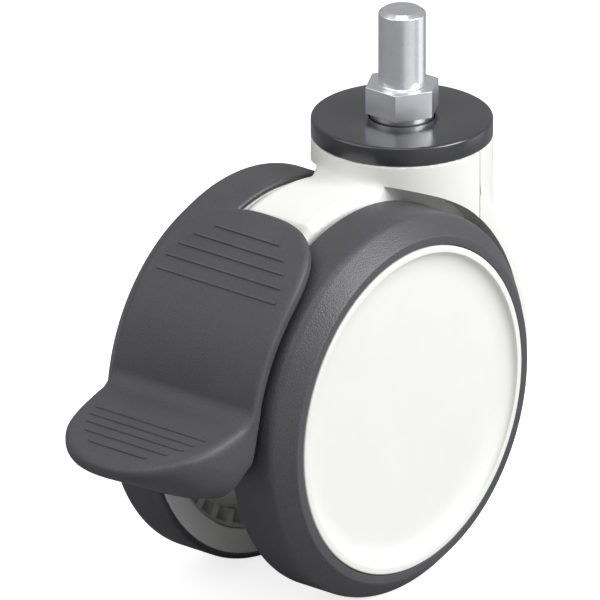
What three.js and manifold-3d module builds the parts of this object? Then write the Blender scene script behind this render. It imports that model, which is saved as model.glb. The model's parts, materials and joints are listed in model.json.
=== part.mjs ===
// Twin-wheel swivel caster with a threaded pin, a round dust cover and a pedal that locks both
// the wheels and the swivel. Millimetres, +Z up. The origin is on the swivel axis, on the hexagon's
// top face, where the pin enters the chair. +X points to the wheels and the pedal, and the wheels
// turn about an axis along Y. Polar angles in the wheel's plane start at +X and rise towards +Z.
import * as THREE from 'three';
import { mergeVertices } from 'three/addons/utils/BufferGeometryUtils.js';
import Module from 'manifold-3d';

// ---------------------------------------------------------------- driving dimensions

const WHEEL = {
  x: 33.0, z: -70.4, radius: 50.0, innerFace: 13.2, outerFace: 31.5, segments: 36,
};
const TREAD = {
  shoulderFrom: 26.3, shoulderRadius: 45.1, faceY: 31.2, faceRadius: 42.8, innerEdge: 48.55,
};
const CORE = {
  rimRadius: 48.4, seatRadius: 43.4, ringSeat: 42.2, hubRadius: 26.0, hubFace: 15.6,
  webFrom: 20.4, webTo: 23.4, seatFace: 26.2,
};
const CAP = { radius: 42.6, rimWidth: 1.7, floorRadius: 36.5, floorY: 28.7, backY: 26.6 };
const BRAKE_RING = {
  outer: 42.0, root: 41.0, tip: 37.7, from: 14.6, to: 20.2, teeth: 36, tipWidth: 2.1, rootWidth: 2.7,
};

const PIN = { radius: 6.0, top: 20.0, chamfer: 1.0, filletRadius: 1.2 };
const HEX = { acrossFlats: 17.0, bottom: -7.1 };
const COLLAR = { radius: 8.0, bottom: -9.9 };
const DUST_COVER = { radius: 23.0, top: -8.75, bottom: -13.67, bore: 8.45, edge: 0.7 };
const SHAFT = {
  upperRadius: 7.0, step: -21.0, lowerRadius: 5.0, neck: -48.1, neckRadius: 2.8, bottom: -53.6,
};
const STEM_SEGMENTS = 24;
const ROUND_SEGMENTS = 36;

const TOWER = { radius: 23.0, top: -13.75, bottom: -45.0, coreRadius: 17.0, coreBottom: -36.0 };
const ARCH = {
  clearance: 52.9, webRadius: 50.9, rearRadius: 52.4, frontRadius: 49.6, halfWidth: 11.0,
};
const FENDER = { radius: 56.0, halfWidth: 23.0, endAngle: 181, seamX: -3.2, gap: 0.3 };

const UPPER_BEARING = {
  bore: 7.05, innerOut: 9.1, ballCentre: 10.7, ball: 1.35, outerIn: 12.3, outer: 14.0,
  from: -20.2, to: -14.2, balls: 9,
};
const LOWER_BEARING = {
  bore: 5.05, innerOut: 5.95, ballCentre: 7.0, ball: 0.85, outerIn: 8.05, outer: 9.0,
  from: -46.5, to: -41.5, balls: 8,
};
const WHEEL_BEARING = {
  bore: 4.05, innerOut: 5.9, ballCentre: 7.5, ball: 1.4, outerIn: 9.1, outer: 11.0,
  from: 17.1, to: 23.1, balls: 7,
};
const AXLE = { radius: 4.0, end: 26.0, spacerRadius: 6.5, spacerFrom: 11.2, segments: 20 };
const RETAINING_RING = { thickness: 1.0, gap: 0.2, axleOuter: 6.6, stemOuter: 7.5 };

const LOCK = {
  angle: 18,             // pedal travel from free to locked, degrees
  pivotX: 36.6, pivotZ: -5.1, pinRadius: 2.5,
  barRadius: 1.8, barHalfLength: 19.0, barAngle: 20, barRest: 32.9, barTravel: 5.2,
  drivePinX: 26.6, drivePinZ: 2.7, drivePinRadius: 1.5,
};
const CHAMBER = { halfWidth: 7.0, bottom: 16.8, top: 21.2, rearX: -10.9, pocketX: 17.5 };
const SLIDER = { halfWidth: 6.7, bottom: 17.2, top: 20.8, rearX: -10.4, legX: 19.0, legWidth: 3.4 };
const CROWN = { teeth: 12, root: 3.5, tip: 4.6, from: -53.2, to: -49.6 };

const PEDAL = {
  outer: 54.6, inner: 50.9, halfWidth: 23.4, topCentre: 42, topReach: 27.6, topPower: 2.5,
  toeStart: 57.0, toeReach: 28.0, toePower: 2.25, toeHeight: 10.2, toeSlope: 0.2217,
  rim: 3.3, edge: 1.6, heelX: 60.0, heelZ: -11.0, heelRise: 5.5, heelRiseFrom: 12.0,
};
const PEDAL_RIB = { from: 2.8, to: 6.5, bossRadius: 5.2 };
const CAM = { halfWidth: 2.4, pivotBoss: 5.0, barBoss: 4.6, driveBoss: 3.2 };

const STEEL = { color: 0xc4c6c8, roughness: 0.28, metalness: 1.0 };
const BEARING_STEEL = { color: 0xa9adb2, roughness: 0.22, metalness: 1.0 };
const WHITE_PLASTIC = { color: 0xf4f4ef, roughness: 0.42, metalness: 0.0 };
const GREY_RUBBER = { color: 0x57575a, roughness: 0.72, metalness: 0.0 };
const GREY_PLASTIC = { color: 0x56565a, roughness: 0.55, metalness: 0.0 };
const DARK_PLASTIC = { color: 0x48484c, roughness: 0.30, metalness: 0.0 };
const CORE_PLASTIC = { color: 0xd2d2d0, roughness: 0.50, metalness: 0.0 };
const ACETAL = { color: 0xb9b8b2, roughness: 0.50, metalness: 0.0 };

// ---------------------------------------------------------------- geometry helpers

const wasm = await Module();
wasm.setup();

const radians = THREE.MathUtils.degToRad;

function signedVolume(positions, corners) {
  let sum = 0;
  const [a, b, c] = [new THREE.Vector3(), new THREE.Vector3(), new THREE.Vector3()];
  for (let i = 0; i < corners.length; i += 3) {
    a.fromArray(positions, corners[i] * 3);
    b.fromArray(positions, corners[i + 1] * 3);
    c.fromArray(positions, corners[i + 2] * 3);
    sum += a.dot(b.cross(c));
  }
  return sum;
}

// A closed three.js geometry becomes a solid: shared corners merged, collapsed triangles dropped.
function solid(geometry) {
  const bare = geometry.clone();
  bare.deleteAttribute('normal');
  bare.deleteAttribute('uv');
  const merged = mergeVertices(bare, 1e-4);
  const positions = merged.attributes.position.array;
  const all = merged.index.array;
  const corners = [];
  for (let i = 0; i < all.length; i += 3) {
    const [a, b, c] = [all[i], all[i + 1], all[i + 2]];
    if (a !== b && b !== c && c !== a) corners.push(a, b, c);
  }
  if (signedVolume(positions, corners) < 0) corners.reverse();
  return new wasm.Manifold(new wasm.Mesh({
    numProp: 3, vertProperties: positions, triVerts: Uint32Array.from(corners),
  }));
}

function mesh(name, shape, material) {
  const { vertProperties, triVerts } = shape.getMesh();
  const geometry = new THREE.BufferGeometry();
  geometry.setAttribute('position', new THREE.BufferAttribute(vertProperties, 3));
  geometry.setIndex(new THREE.BufferAttribute(triVerts, 1));
  geometry.computeVertexNormals();
  const piece = new THREE.Mesh(geometry, new THREE.MeshStandardMaterial(material));
  piece.name = name;
  return piece;
}

function joined(first, ...others) {
  return others.reduce((whole, other) => whole.add(other), first);
}

function cut(first, ...others) {
  return others.reduce((whole, other) => whole.subtract(other), first);
}

function polar(radius, degrees) {
  return [radius * Math.cos(radians(degrees)), radius * Math.sin(radians(degrees))];
}

// Points of an arc, as [across, up] pairs.
function arc(centreX, centreY, radius, fromDegrees, toDegrees, steps) {
  return Array.from({ length: steps + 1 }, (_, i) => {
    const angle = radians(fromDegrees + ((toDegrees - fromDegrees) * i) / steps);
    return [centreX + radius * Math.cos(angle), centreY + radius * Math.sin(angle)];
  });
}

// A solid turned about Y. The profile is a list of [radius, y] pairs, closed here where it must be.
function turnedAboutY(profile, segments) {
  const points = profile.map(([r, y]) => new THREE.Vector2(r, y));
  const onAxis = profile[0][0] === 0 && profile[profile.length - 1][0] === 0;
  if (!onAxis) points.push(points[0].clone());
  return solid(new THREE.LatheGeometry(points, segments));
}

// The same about Z, with [radius, z] pairs.
function turnedAboutZ(profile, segments) {
  return turnedAboutY(profile, segments).rotate([90, 0, 0]);
}

function ringAboutY(inner, outer, from, to, segments) {
  return turnedAboutY([[inner, from], [outer, from], [outer, to], [inner, to]], segments);
}

function ringAboutZ(inner, outer, from, to, segments) {
  return turnedAboutZ([[inner, from], [outer, from], [outer, to], [inner, to]], segments);
}

function discAboutY(radius, from, to, segments) {
  return turnedAboutY([[0, from], [radius, from], [radius, to], [0, to]], segments);
}

function discAboutZ(radius, from, to, segments) {
  return turnedAboutZ([[0, from], [radius, from], [radius, to], [0, to]], segments);
}

// An outline of [x, z] pairs, extruded along Y.
function slabAlongY(outline, from, to) {
  const shape = new THREE.Shape(outline.map(([x, z]) => new THREE.Vector2(x, z)));
  const geometry = new THREE.ExtrudeGeometry(shape, { depth: to - from, bevelEnabled: false });
  return solid(geometry.rotateX(Math.PI / 2).translate(0, to, 0));
}

// An outline of [x, y] pairs, extruded along Z.
function slabAlongZ(outline, from, to) {
  const shape = new THREE.Shape(outline.map(([x, y]) => new THREE.Vector2(x, y)));
  const geometry = new THREE.ExtrudeGeometry(shape, { depth: to - from, bevelEnabled: false });
  return solid(geometry.translate(0, 0, from));
}

function block(x0, x1, y0, y1, z0, z1) {
  const geometry = new THREE.BoxGeometry(x1 - x0, y1 - y0, z1 - z0);
  return solid(geometry.translate((x0 + x1) / 2, (y0 + y1) / 2, (z0 + z1) / 2));
}

// The outline of a bar with round ends between two points.
function stadium(x0, z0, x1, z1, radius, steps = 8) {
  const heading = THREE.MathUtils.radToDeg(Math.atan2(z1 - z0, x1 - x0));
  return [
    ...arc(x1, z1, radius, heading - 90, heading + 90, steps),
    ...arc(x0, z0, radius, heading + 90, heading + 270, steps),
  ];
}

// Triangles that fill an outline in the XZ plane, all turning the same way as the outline.
function capTriangles(section) {
  const contour = section.map((p) => new THREE.Vector2(p.x, p.z));
  const { area, triangulateShape } = THREE.ShapeUtils;
  const way = Math.sign(area(contour));
  return triangulateShape(contour, []).map(([a, b, c]) => (
    Math.sign(area([contour[a], contour[b], contour[c]])) === way ? [a, b, c] : [a, c, b]));
}

// A closed skin through outlines that all have the same number of corners.
function loft(sections) {
  const count = sections[0].length;
  const positions = sections.flat().flatMap((p) => [p.x, p.y, p.z]);
  const index = [];
  for (let s = 0; s + 1 < sections.length; s += 1) {
    for (let i = 0; i < count; i += 1) {
      const [a, b] = [s * count + i, s * count + ((i + 1) % count)];
      index.push(a, b, b + count, a, b + count, a + count);
    }
  }
  const last = (sections.length - 1) * count;
  for (const [a, b, c] of capTriangles(sections[0])) index.push(a, c, b);
  for (const [a, b, c] of capTriangles(sections[sections.length - 1])) {
    index.push(last + a, last + b, last + c);
  }
  const geometry = new THREE.BufferGeometry();
  geometry.setAttribute('position', new THREE.Float32BufferAttribute(positions, 3));
  geometry.setIndex(index);
  return solid(geometry);
}

// ---------------------------------------------------------------- ball bearings

// Balls held by a cage ring, one piece, about the Y axis.
function ballCageAboutY(bearing) {
  const middle = (bearing.from + bearing.to) / 2;
  const half = bearing.ball * 0.45;
  const ring = ringAboutY(
    bearing.ballCentre - half, bearing.ballCentre + half, middle - half, middle + half, 14);
  const balls = Array.from({ length: bearing.balls }, (_, i) => {
    const angle = (2 * Math.PI * i) / bearing.balls;
    const ball = new THREE.SphereGeometry(bearing.ball, 6, 4);
    const [x, z] = [bearing.ballCentre * Math.cos(angle), bearing.ballCentre * Math.sin(angle)];
    return solid(ball.translate(x, middle, z));
  });
  return joined(ring, ...balls);
}

function bearingRaces(bearing, segments) {
  return {
    inner: ringAboutY(bearing.bore, bearing.innerOut, bearing.from, bearing.to, segments),
    outer: ringAboutY(bearing.outerIn, bearing.outer, bearing.from, bearing.to, segments),
    cage: ballCageAboutY(bearing),
  };
}

function uprightBearing(prefix, bearing) {
  const races = bearingRaces(bearing, STEM_SEGMENTS);
  const upright = (shape) => shape.rotate([90, 0, 0]);
  return [
    mesh(`${prefix}_bearing_inner_race`, upright(races.inner), BEARING_STEEL),
    mesh(`${prefix}_bearing_outer_race`, upright(races.outer), BEARING_STEEL),
    mesh(`${prefix}_bearing_ball_cage`, upright(races.cage), BEARING_STEEL),
  ];
}

// ---------------------------------------------------------------- stem

function stem() {
  const turned = turnedAboutZ([
    [0, SHAFT.bottom], [SHAFT.neckRadius, SHAFT.bottom], [SHAFT.neckRadius, SHAFT.neck],
    [SHAFT.lowerRadius, SHAFT.neck], [SHAFT.lowerRadius, SHAFT.step],
    [SHAFT.upperRadius, SHAFT.step], [SHAFT.upperRadius, COLLAR.bottom],
    [COLLAR.radius, COLLAR.bottom], [COLLAR.radius, HEX.bottom / 2],
    [PIN.radius + PIN.filletRadius, HEX.bottom / 2], [PIN.radius + PIN.filletRadius, 0],
    [PIN.radius + PIN.filletRadius * 0.3, PIN.filletRadius * 0.3],
    [PIN.radius, PIN.filletRadius], [PIN.radius, PIN.top - PIN.chamfer],
    [PIN.radius - PIN.chamfer * 1.35, PIN.top], [0, PIN.top],
  ], STEM_SEGMENTS);
  const cornerRadius = HEX.acrossFlats / 2 / Math.cos(radians(30));
  const corners = Array.from({ length: 6 }, (_, i) => {
    const angle = radians(30 + 60 * i);
    return [cornerRadius * Math.cos(angle), cornerRadius * Math.sin(angle)];
  });
  return joined(turned, slabAlongZ(corners, HEX.bottom, 0));
}

// A ring with square notches that the slider's tooth drops into.
function lockCrown() {
  const pitch = 360 / CROWN.teeth;
  const outline = [];
  for (let i = 0; i < CROWN.teeth; i += 1) {
    const middle = i * pitch + pitch / 2;
    outline.push(...arc(0, 0, CROWN.tip, middle - pitch * 0.21, middle + pitch * 0.21, 2));
    outline.push(...arc(0, 0, CROWN.root, middle + pitch * 0.25, middle + pitch * 0.75, 1));
  }
  const bore = discAboutZ(SHAFT.neckRadius + 0.05, CROWN.from - 1, CROWN.to + 1, STEM_SEGMENTS);
  return cut(slabAlongZ(outline, CROWN.from, CROWN.to), bore);
}

function stemRetainingRing() {
  const top = LOWER_BEARING.from - RETAINING_RING.gap;
  return ringAboutZ(
    SHAFT.lowerRadius + 0.05, RETAINING_RING.stemOuter, top - RETAINING_RING.thickness, top,
    STEM_SEGMENTS);
}

// ---------------------------------------------------------------- housing, covers

// The space that the stem, both bearings and the retaining ring take, as one turned cutter.
function stemBore() {
  const upperSeat = UPPER_BEARING.outer + 0.05;
  const lowerSeat = LOWER_BEARING.outer + 0.05;
  const upperLedge = UPPER_BEARING.from - 0.1;
  const lowerLedge = LOWER_BEARING.to + 0.1;
  return turnedAboutZ([
    [0, TOWER.top + 1], [upperSeat, TOWER.top + 1], [upperSeat, upperLedge],
    [11.6, upperLedge], [11.6, upperLedge - 1.2], [SHAFT.upperRadius + 0.5, upperLedge - 1.2],
    [SHAFT.upperRadius + 0.5, SHAFT.step - 1], [SHAFT.lowerRadius + 0.5, SHAFT.step - 1],
    [SHAFT.lowerRadius + 0.5, lowerLedge], [lowerSeat, lowerLedge],
    [lowerSeat, SHAFT.neck - 0.2], [SHAFT.lowerRadius + 0.3, SHAFT.neck - 0.2],
    [SHAFT.lowerRadius + 0.3, WHEEL.z + CHAMBER.top - 0.5], [0, WHEEL.z + CHAMBER.top - 0.5],
  ], STEM_SEGMENTS);
}

function wheelDisc(radius, from, to) {
  return discAboutY(radius, from, to, 72).translate([WHEEL.x, 0, WHEEL.z]);
}

function fromWheelCentre(outline) {
  return outline.map(([x, z]) => [WHEEL.x + x, WHEEL.z + z]);
}

// The web between the wheels, seen from the side.
function webOutline() {
  return fromWheelCentre([
    ...arc(0, 0, ARCH.frontRadius, -10, 70.5, 11),
    ...arc(0, 0, ARCH.webRadius, 73, 117, 10),
    ...arc(0, 0, ARCH.rearRadius, 119, 180, 10),
    [-50.5, -3.5], [-46, -8],
    ...arc(0, 0, 20, 228, 290, 8),
    [38, -15], [45.5, -12.5],
  ]);
}

// Pocket for the pedal's ribs, cam, bar and slider: open to the front and below.
function lockChamber() {
  const front = WHEEL.x + ARCH.webRadius + 3;
  const channel = block(
    CHAMBER.rearX, WHEEL.x + CHAMBER.pocketX + 1, -CHAMBER.halfWidth, CHAMBER.halfWidth,
    WHEEL.z + CHAMBER.bottom, WHEEL.z + CHAMBER.top);
  const pocket = block(
    WHEEL.x + CHAMBER.pocketX, front, -CHAMBER.halfWidth, CHAMBER.halfWidth,
    WHEEL.z - 24, WHEEL.z + CHAMBER.top);
  return channel.add(pocket);
}

// The slot in both cheeks that guides the wheel lock bar straight out from the wheel centre.
function barSlot() {
  const angle = radians(LOCK.barAngle);
  const [from, to] = [LOCK.barRest - 0.3, LOCK.barRest + LOCK.barTravel + 0.3];
  const outline = stadium(
    WHEEL.x + from * Math.cos(angle), WHEEL.z + from * Math.sin(angle),
    WHEEL.x + to * Math.cos(angle), WHEEL.z + to * Math.sin(angle), LOCK.barRadius + 0.25);
  return slabAlongY(outline, -ARCH.halfWidth - 1, ARCH.halfWidth + 1);
}

function housing() {
  const front = discAboutZ(TOWER.radius, TOWER.bottom, TOWER.top, ROUND_SEGMENTS)
    .intersect(block(FENDER.seamX, 40, -30, 30, -60, 0));
  const core = discAboutZ(TOWER.coreRadius, TOWER.coreBottom, TOWER.top, ROUND_SEGMENTS);
  const tower = cut(
    front.add(core),
    wheelDisc(ARCH.clearance, ARCH.halfWidth, 40), wheelDisc(ARCH.clearance, -40, -ARCH.halfWidth));
  const web = slabAlongY(webOutline(), -ARCH.halfWidth, ARCH.halfWidth);
  const axleHole = discAboutY(AXLE.radius + 0.06, -20, 20, AXLE.segments)
    .translate([WHEEL.x, 0, WHEEL.z]);
  const pivotHole = discAboutY(LOCK.pinRadius + 0.06, -20, 20, AXLE.segments)
    .translate([WHEEL.x + LOCK.pivotX, 0, WHEEL.z + LOCK.pivotZ]);
  return cut(tower.add(web), stemBore(), lockChamber(), barSlot(), axleHole, pivotHole);
}

// The fender behind the wheels, with the rear half of the tower's outer skin.
function rearFender() {
  const shell = slabAlongY(fromWheelCentre([
    ...arc(0, 0, FENDER.radius, 100, FENDER.endAngle, 18),
    ...arc(0, 0, ARCH.clearance - 1, FENDER.endAngle, 100, 18),
  ]), -FENDER.halfWidth, FENDER.halfWidth);
  const skin = discAboutZ(TOWER.radius, WHEEL.z, TOWER.top, ROUND_SEGMENTS);
  const behind = block(-60, FENDER.seamX - FENDER.gap, -40, 40, -120, 0);
  const core = discAboutZ(
    TOWER.coreRadius + FENDER.gap, TOWER.coreBottom - FENDER.gap, TOWER.top + 1,
    ROUND_SEGMENTS);
  return cut(shell.add(skin).intersect(behind), wheelDisc(ARCH.clearance, -40, 40), core);
}

function dustCover() {
  const { radius, top, bottom, bore, edge } = DUST_COVER;
  return turnedAboutZ([
    [bore, bottom], [radius - 0.3, bottom], [radius, bottom + 0.3],
    ...arc(radius - edge, top - edge, edge, 0, 90, 2), [bore, top],
  ], ROUND_SEGMENTS);
}

// ---------------------------------------------------------------- wheels

function tread() {
  const { radius, innerFace } = WHEEL;
  return turnedAboutY([
    [TREAD.innerEdge, innerFace + 0.2],
    [radius - 0.6, innerFace + 0.15], [radius, innerFace + 0.9],
    [radius, TREAD.shoulderFrom - 0.4], [radius - 0.35, TREAD.shoulderFrom + 0.2],
    [TREAD.shoulderRadius + 0.4, TREAD.faceY - 0.4], [TREAD.shoulderRadius - 0.3, TREAD.faceY],
    [TREAD.faceRadius, TREAD.faceY], [TREAD.faceRadius, CORE.seatFace + 0.2],
    [CORE.seatRadius + 0.15, CORE.seatFace + 0.2], [CORE.seatRadius + 0.15, 18.6],
    [TREAD.innerEdge, 15.6],
  ], WHEEL.segments);
}

function wheelCore() {
  const bore = WHEEL_BEARING.outer + 0.05;
  return turnedAboutY([
    [bore, CORE.hubFace], [CORE.hubRadius, CORE.hubFace], [CORE.hubRadius, CORE.webFrom],
    [CORE.ringSeat, CORE.webFrom], [CORE.ringSeat, WHEEL.innerFace],
    [CORE.rimRadius, WHEEL.innerFace], [CORE.rimRadius, 15.5], [CORE.seatRadius, 18.5],
    [CORE.seatRadius, CORE.seatFace], [CORE.seatRadius - 2, CORE.seatFace],
    [CORE.seatRadius - 2, CORE.webTo], [bore, CORE.webTo],
  ], WHEEL.segments);
}

// Internal teeth that the lock bar drops between.
function brakeRing() {
  const pitch = 360 / BRAKE_RING.teeth;
  const degreesAt = (width, radius) => THREE.MathUtils.radToDeg(width / 2 / radius);
  const tipHalf = degreesAt(BRAKE_RING.tipWidth, BRAKE_RING.tip);
  const rootHalf = degreesAt(BRAKE_RING.rootWidth, BRAKE_RING.root);
  const outline = [];
  for (let i = 0; i < BRAKE_RING.teeth; i += 1) {
    const middle = (i + 0.5) * pitch;
    outline.push(...arc(0, 0, BRAKE_RING.tip, middle - tipHalf, middle + tipHalf, 1));
    outline.push(...arc(0, 0, BRAKE_RING.root, middle + rootHalf, middle + pitch - rootHalf, 1));
  }
  const blank = discAboutY(BRAKE_RING.outer, BRAKE_RING.from, BRAKE_RING.to, 72);
  return blank.subtract(slabAlongY(outline, BRAKE_RING.from - 1, BRAKE_RING.to + 1));
}

function wheelCap() {
  const rimInner = CAP.radius - CAP.rimWidth;
  const face = WHEEL.outerFace;
  return turnedAboutY([
    [0, CAP.backY], [CAP.radius - 1.4, CAP.backY], [CAP.radius, CAP.backY + 0.6],
    [CAP.radius, face - 0.35], [CAP.radius - 0.35, face], [rimInner, face],
    [rimInner - 1.2, face - 1.3], [rimInner - 2.7, CAP.floorY + 0.35],
    [CAP.floorRadius, CAP.floorY], [0, CAP.floorY],
  ], WHEEL.segments);
}

function axleRetainingRing() {
  const from = WHEEL_BEARING.to + RETAINING_RING.gap;
  return ringAboutY(
    AXLE.radius + 0.05, RETAINING_RING.axleOuter, from, from + RETAINING_RING.thickness,
    AXLE.segments);
}

// Everything on one side of the axle. The group is turned half round for the other side.
function wheelSide(side) {
  const group = new THREE.Group();
  const races = bearingRaces(WHEEL_BEARING, AXLE.segments);
  const spacer = ringAboutY(
    AXLE.radius + 0.05, AXLE.spacerRadius, AXLE.spacerFrom, WHEEL_BEARING.from - 0.1,
    AXLE.segments);
  group.add(
    mesh(`tread_${side}`, tread(), GREY_RUBBER),
    mesh(`wheel_core_${side}`, wheelCore(), CORE_PLASTIC),
    mesh(`brake_ring_${side}`, brakeRing(), CORE_PLASTIC),
    mesh(`wheel_cap_${side}`, wheelCap(), WHITE_PLASTIC),
    mesh(`wheel_bearing_outer_race_${side}`, races.outer, BEARING_STEEL),
    mesh(`wheel_bearing_inner_race_${side}`, races.inner, BEARING_STEEL),
    mesh(`wheel_bearing_ball_cage_${side}`, races.cage, BEARING_STEEL),
    mesh(`axle_spacer_${side}`, spacer, STEEL),
    mesh(`axle_retaining_ring_${side}`, axleRetainingRing(), STEEL),
  );
  return group;
}

// ---------------------------------------------------------------- pedal and locks

// One slice of the pedal at a distance y from its middle: a curved plate in front of the wheels,
// a toe that slopes out and down from it, and a heel that returns under the toe to the wheels.
function pedalSection(y) {
  const across = Math.min(Math.abs(y) / PEDAL.halfWidth, 1);
  const topAngle = PEDAL.topCentre
    + PEDAL.topReach * (1 - across ** PEDAL.topPower) ** (1 / PEDAL.topPower);
  const tip = PEDAL.toeStart + 1
    + (PEDAL.toeReach - 1) * (1 - across ** PEDAL.toePower) ** (1 / PEDAL.toePower);
  const beyond = Math.max(0, Math.abs(y) - (PEDAL.halfWidth - PEDAL.edge)) / PEDAL.edge;
  const drop = PEDAL.edge * (1 - Math.sqrt(1 - Math.min(beyond, 1) ** 2));
  const toeTop = (x) => PEDAL.toeHeight - PEDAL.toeSlope * (x - PEDAL.toeStart) - drop;
  const rise = THREE.MathUtils.smoothstep(Math.abs(y), PEDAL.heelRiseFrom, PEDAL.halfWidth);
  const heelZ = PEDAL.heelZ + PEDAL.heelRise * rise;
  const heelX = Math.min(PEDAL.heelX, tip - 3);
  const outer = PEDAL.outer - drop;
  const under = [tip - 1.6, toeTop(tip) - PEDAL.rim];
  const heel = [heelX + 1.2, heelZ + 0.8];
  const belly = [0.25, 0.5, 0.75].map((t) => [
    THREE.MathUtils.lerp(under[0], heel[0], t),
    THREE.MathUtils.lerp(under[1], heel[1], t) - Math.sin(Math.PI * t),
  ]);
  const outline = [
    ...arc(0, 0, PEDAL.inner, 0, topAngle - 0.6, 10),
    polar(PEDAL.inner + 1.1, topAngle), polar(outer - 0.9, topAngle),
    ...arc(0, 0, outer, topAngle - 1.2, 15, 10),
    [53.55 - drop, 12.1 - drop * 0.5], [54.7 - drop * 0.5, 11.0 - drop],
    ...[0, 0.33, 0.66, 1].map((t) => {
      const x = THREE.MathUtils.lerp(PEDAL.toeStart - 0.4, tip - 1.3, t);
      return [x, toeTop(x)];
    }),
    [tip - 0.4, toeTop(tip) - 0.45], [tip, toeTop(tip) - 1.4], [tip - 0.4, toeTop(tip) - 2.5],
    under, ...belly, heel, [heelX, heelZ], [heelX - 2.4, heelZ - 0.3],
    [Math.min(54.2, heelX - 3.2), heelZ + 1.6], [Math.min(52.2, heelX - 3.6), heelZ + 4.2],
  ];
  return fromWheelCentre(outline).map(([x, z]) => new THREE.Vector3(x, y, z));
}

// The pedal's two ribs, which reach in between the wheels to the pivot pin.
function pedalRib() {
  return slabAlongY(fromWheelCentre([
    ...arc(LOCK.pivotX, LOCK.pivotZ, PEDAL_RIB.bossRadius, 90, 270, 10),
    [46, -10.2], [54, -8.6], [54, 5], [52.4, 12], [49.6, 12], [45, 5.5],
  ]), PEDAL_RIB.from, PEDAL_RIB.to);
}

function pedal() {
  const half = [0, 7, 12.5, 16.5, 19.5, 21.6, 22.8, PEDAL.halfWidth];
  const stations = [...half.slice(1).reverse().map((y) => -y), ...half];
  const body = loft(stations.map(pedalSection));
  const rib = pedalRib();
  const hole = discAboutY(LOCK.pinRadius + 0.25, -20, 20, AXLE.segments)
    .translate([WHEEL.x + LOCK.pivotX, 0, WHEEL.z + LOCK.pivotZ]);
  const camSlot = block(
    WHEEL.x + 26, WHEEL.x + 50.4, -PEDAL_RIB.from, PEDAL_RIB.from, WHEEL.z - 14, WHEEL.z + 14);
  return cut(joined(body, rib, rib.mirror([0, 1, 0])), hole, camSlot);
}

// Where the bar's axis lies on the cam plate when the pedal has turned by the given angle.
function barOnCam(degrees) {
  const reach = LOCK.barRest + (LOCK.barTravel * degrees) / LOCK.angle;
  const bar = [
    reach * Math.cos(radians(LOCK.barAngle)) - LOCK.pivotX,
    reach * Math.sin(radians(LOCK.barAngle)) - LOCK.pivotZ,
  ];
  const [c, s] = [Math.cos(radians(degrees)), Math.sin(radians(degrees))];
  return [LOCK.pivotX + bar[0] * c - bar[1] * s, LOCK.pivotZ + bar[0] * s + bar[1] * c];
}

// The steel plate that turns with the pedal, draws the lock bar out and carries the drive pin.
function pedalCam() {
  const [free, locked] = [barOnCam(0), barOnCam(LOCK.angle)];
  const arm = (x0, z0, x1, z1, radius) => slabAlongY(
    fromWheelCentre(stadium(x0, z0, x1, z1, radius)), -CAM.halfWidth, CAM.halfWidth);
  const { pivotX, pivotZ, drivePinX, drivePinZ } = LOCK;
  const body = joined(
    arm(pivotX, pivotZ, free[0], free[1], CAM.barBoss),
    arm(pivotX, pivotZ, locked[0], locked[1], CAM.barBoss),
    arm(free[0], free[1], locked[0], locked[1], CAM.barBoss),
    arm(pivotX, pivotZ, drivePinX, drivePinZ, CAM.driveBoss),
    arm(pivotX, pivotZ, 46, -3, CAM.barBoss - 0.6),
  );
  const steps = [0, 4.5, 9, 13.5, 18];
  const slots = steps.slice(1).map((degrees, i) => {
    const [from, to] = [barOnCam(steps[i]), barOnCam(degrees)];
    const outline = stadium(from[0], from[1], to[0], to[1], LOCK.barRadius + 0.4);
    return slabAlongY(fromWheelCentre(outline), -5, 5);
  });
  const holes = [
    [pivotX, pivotZ, LOCK.pinRadius + 0.25], [drivePinX, drivePinZ, LOCK.drivePinRadius + 0.06],
  ].map(([x, z, radius]) => discAboutY(radius, -5, 5, AXLE.segments)
    .translate([WHEEL.x + x, 0, WHEEL.z + z]));
  return cut(body, ...slots, ...holes);
}

// The slider that locks the swivel: a yoke about the crown, a leg, and a fork for the drive pin.
function swivelSlider() {
  const { halfWidth, bottom, top, rearX, legX, legWidth } = SLIDER;
  const [low, high] = [WHEEL.z + bottom, WHEEL.z + top];
  const leg = WHEEL.x + legX;
  const plate = block(rearX, leg + legWidth, -halfWidth, halfWidth, low, high);
  const opening = block(rearX + 2.6, 6.2, -CROWN.tip - 0.35, CROWN.tip + 0.35, low - 1, high + 1);
  const tooth = block(rearX + 2.4, rearX + 3.8, -0.42, 0.42, low, high);
  const down = block(leg, leg + legWidth, -halfWidth, halfWidth, WHEEL.z + 1, high);
  const fork = block(
    leg + legWidth - 0.5, WHEEL.x + LOCK.drivePinX + 3.4, -halfWidth + 0.4, halfWidth - 0.4,
    WHEEL.z + 1, WHEEL.z + 8.6);
  const camGap = block(
    leg + legWidth + 0.1, WHEEL.x + 40, -CAM.halfWidth - 0.4, CAM.halfWidth + 0.4,
    WHEEL.z, WHEEL.z + 10);
  const pinSlot = slabAlongY(fromWheelCentre(stadium(
    LOCK.drivePinX, LOCK.drivePinZ - 4, LOCK.drivePinX, LOCK.drivePinZ + 2.9,
    LOCK.drivePinRadius + 0.4)), -10, 10);
  return cut(joined(plate.subtract(opening), tooth, down, fork), camGap, pinSlot);
}

// A bent steel strip under the pivot that holds the pedal in either position.
function detentSpring() {
  return slabAlongY(fromWheelCentre([
    [17.9, -4], [18.7, -4], [18.7, -10.6], [22, -12.2], [33.5, -11.0], [36, -10.8],
    [36, -11.7], [33.5, -11.9], [22, -13.2], [17.9, -11.2],
  ]), -5.5, 5.5);
}

// ---------------------------------------------------------------- assembly

const caster = new THREE.Group();

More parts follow.
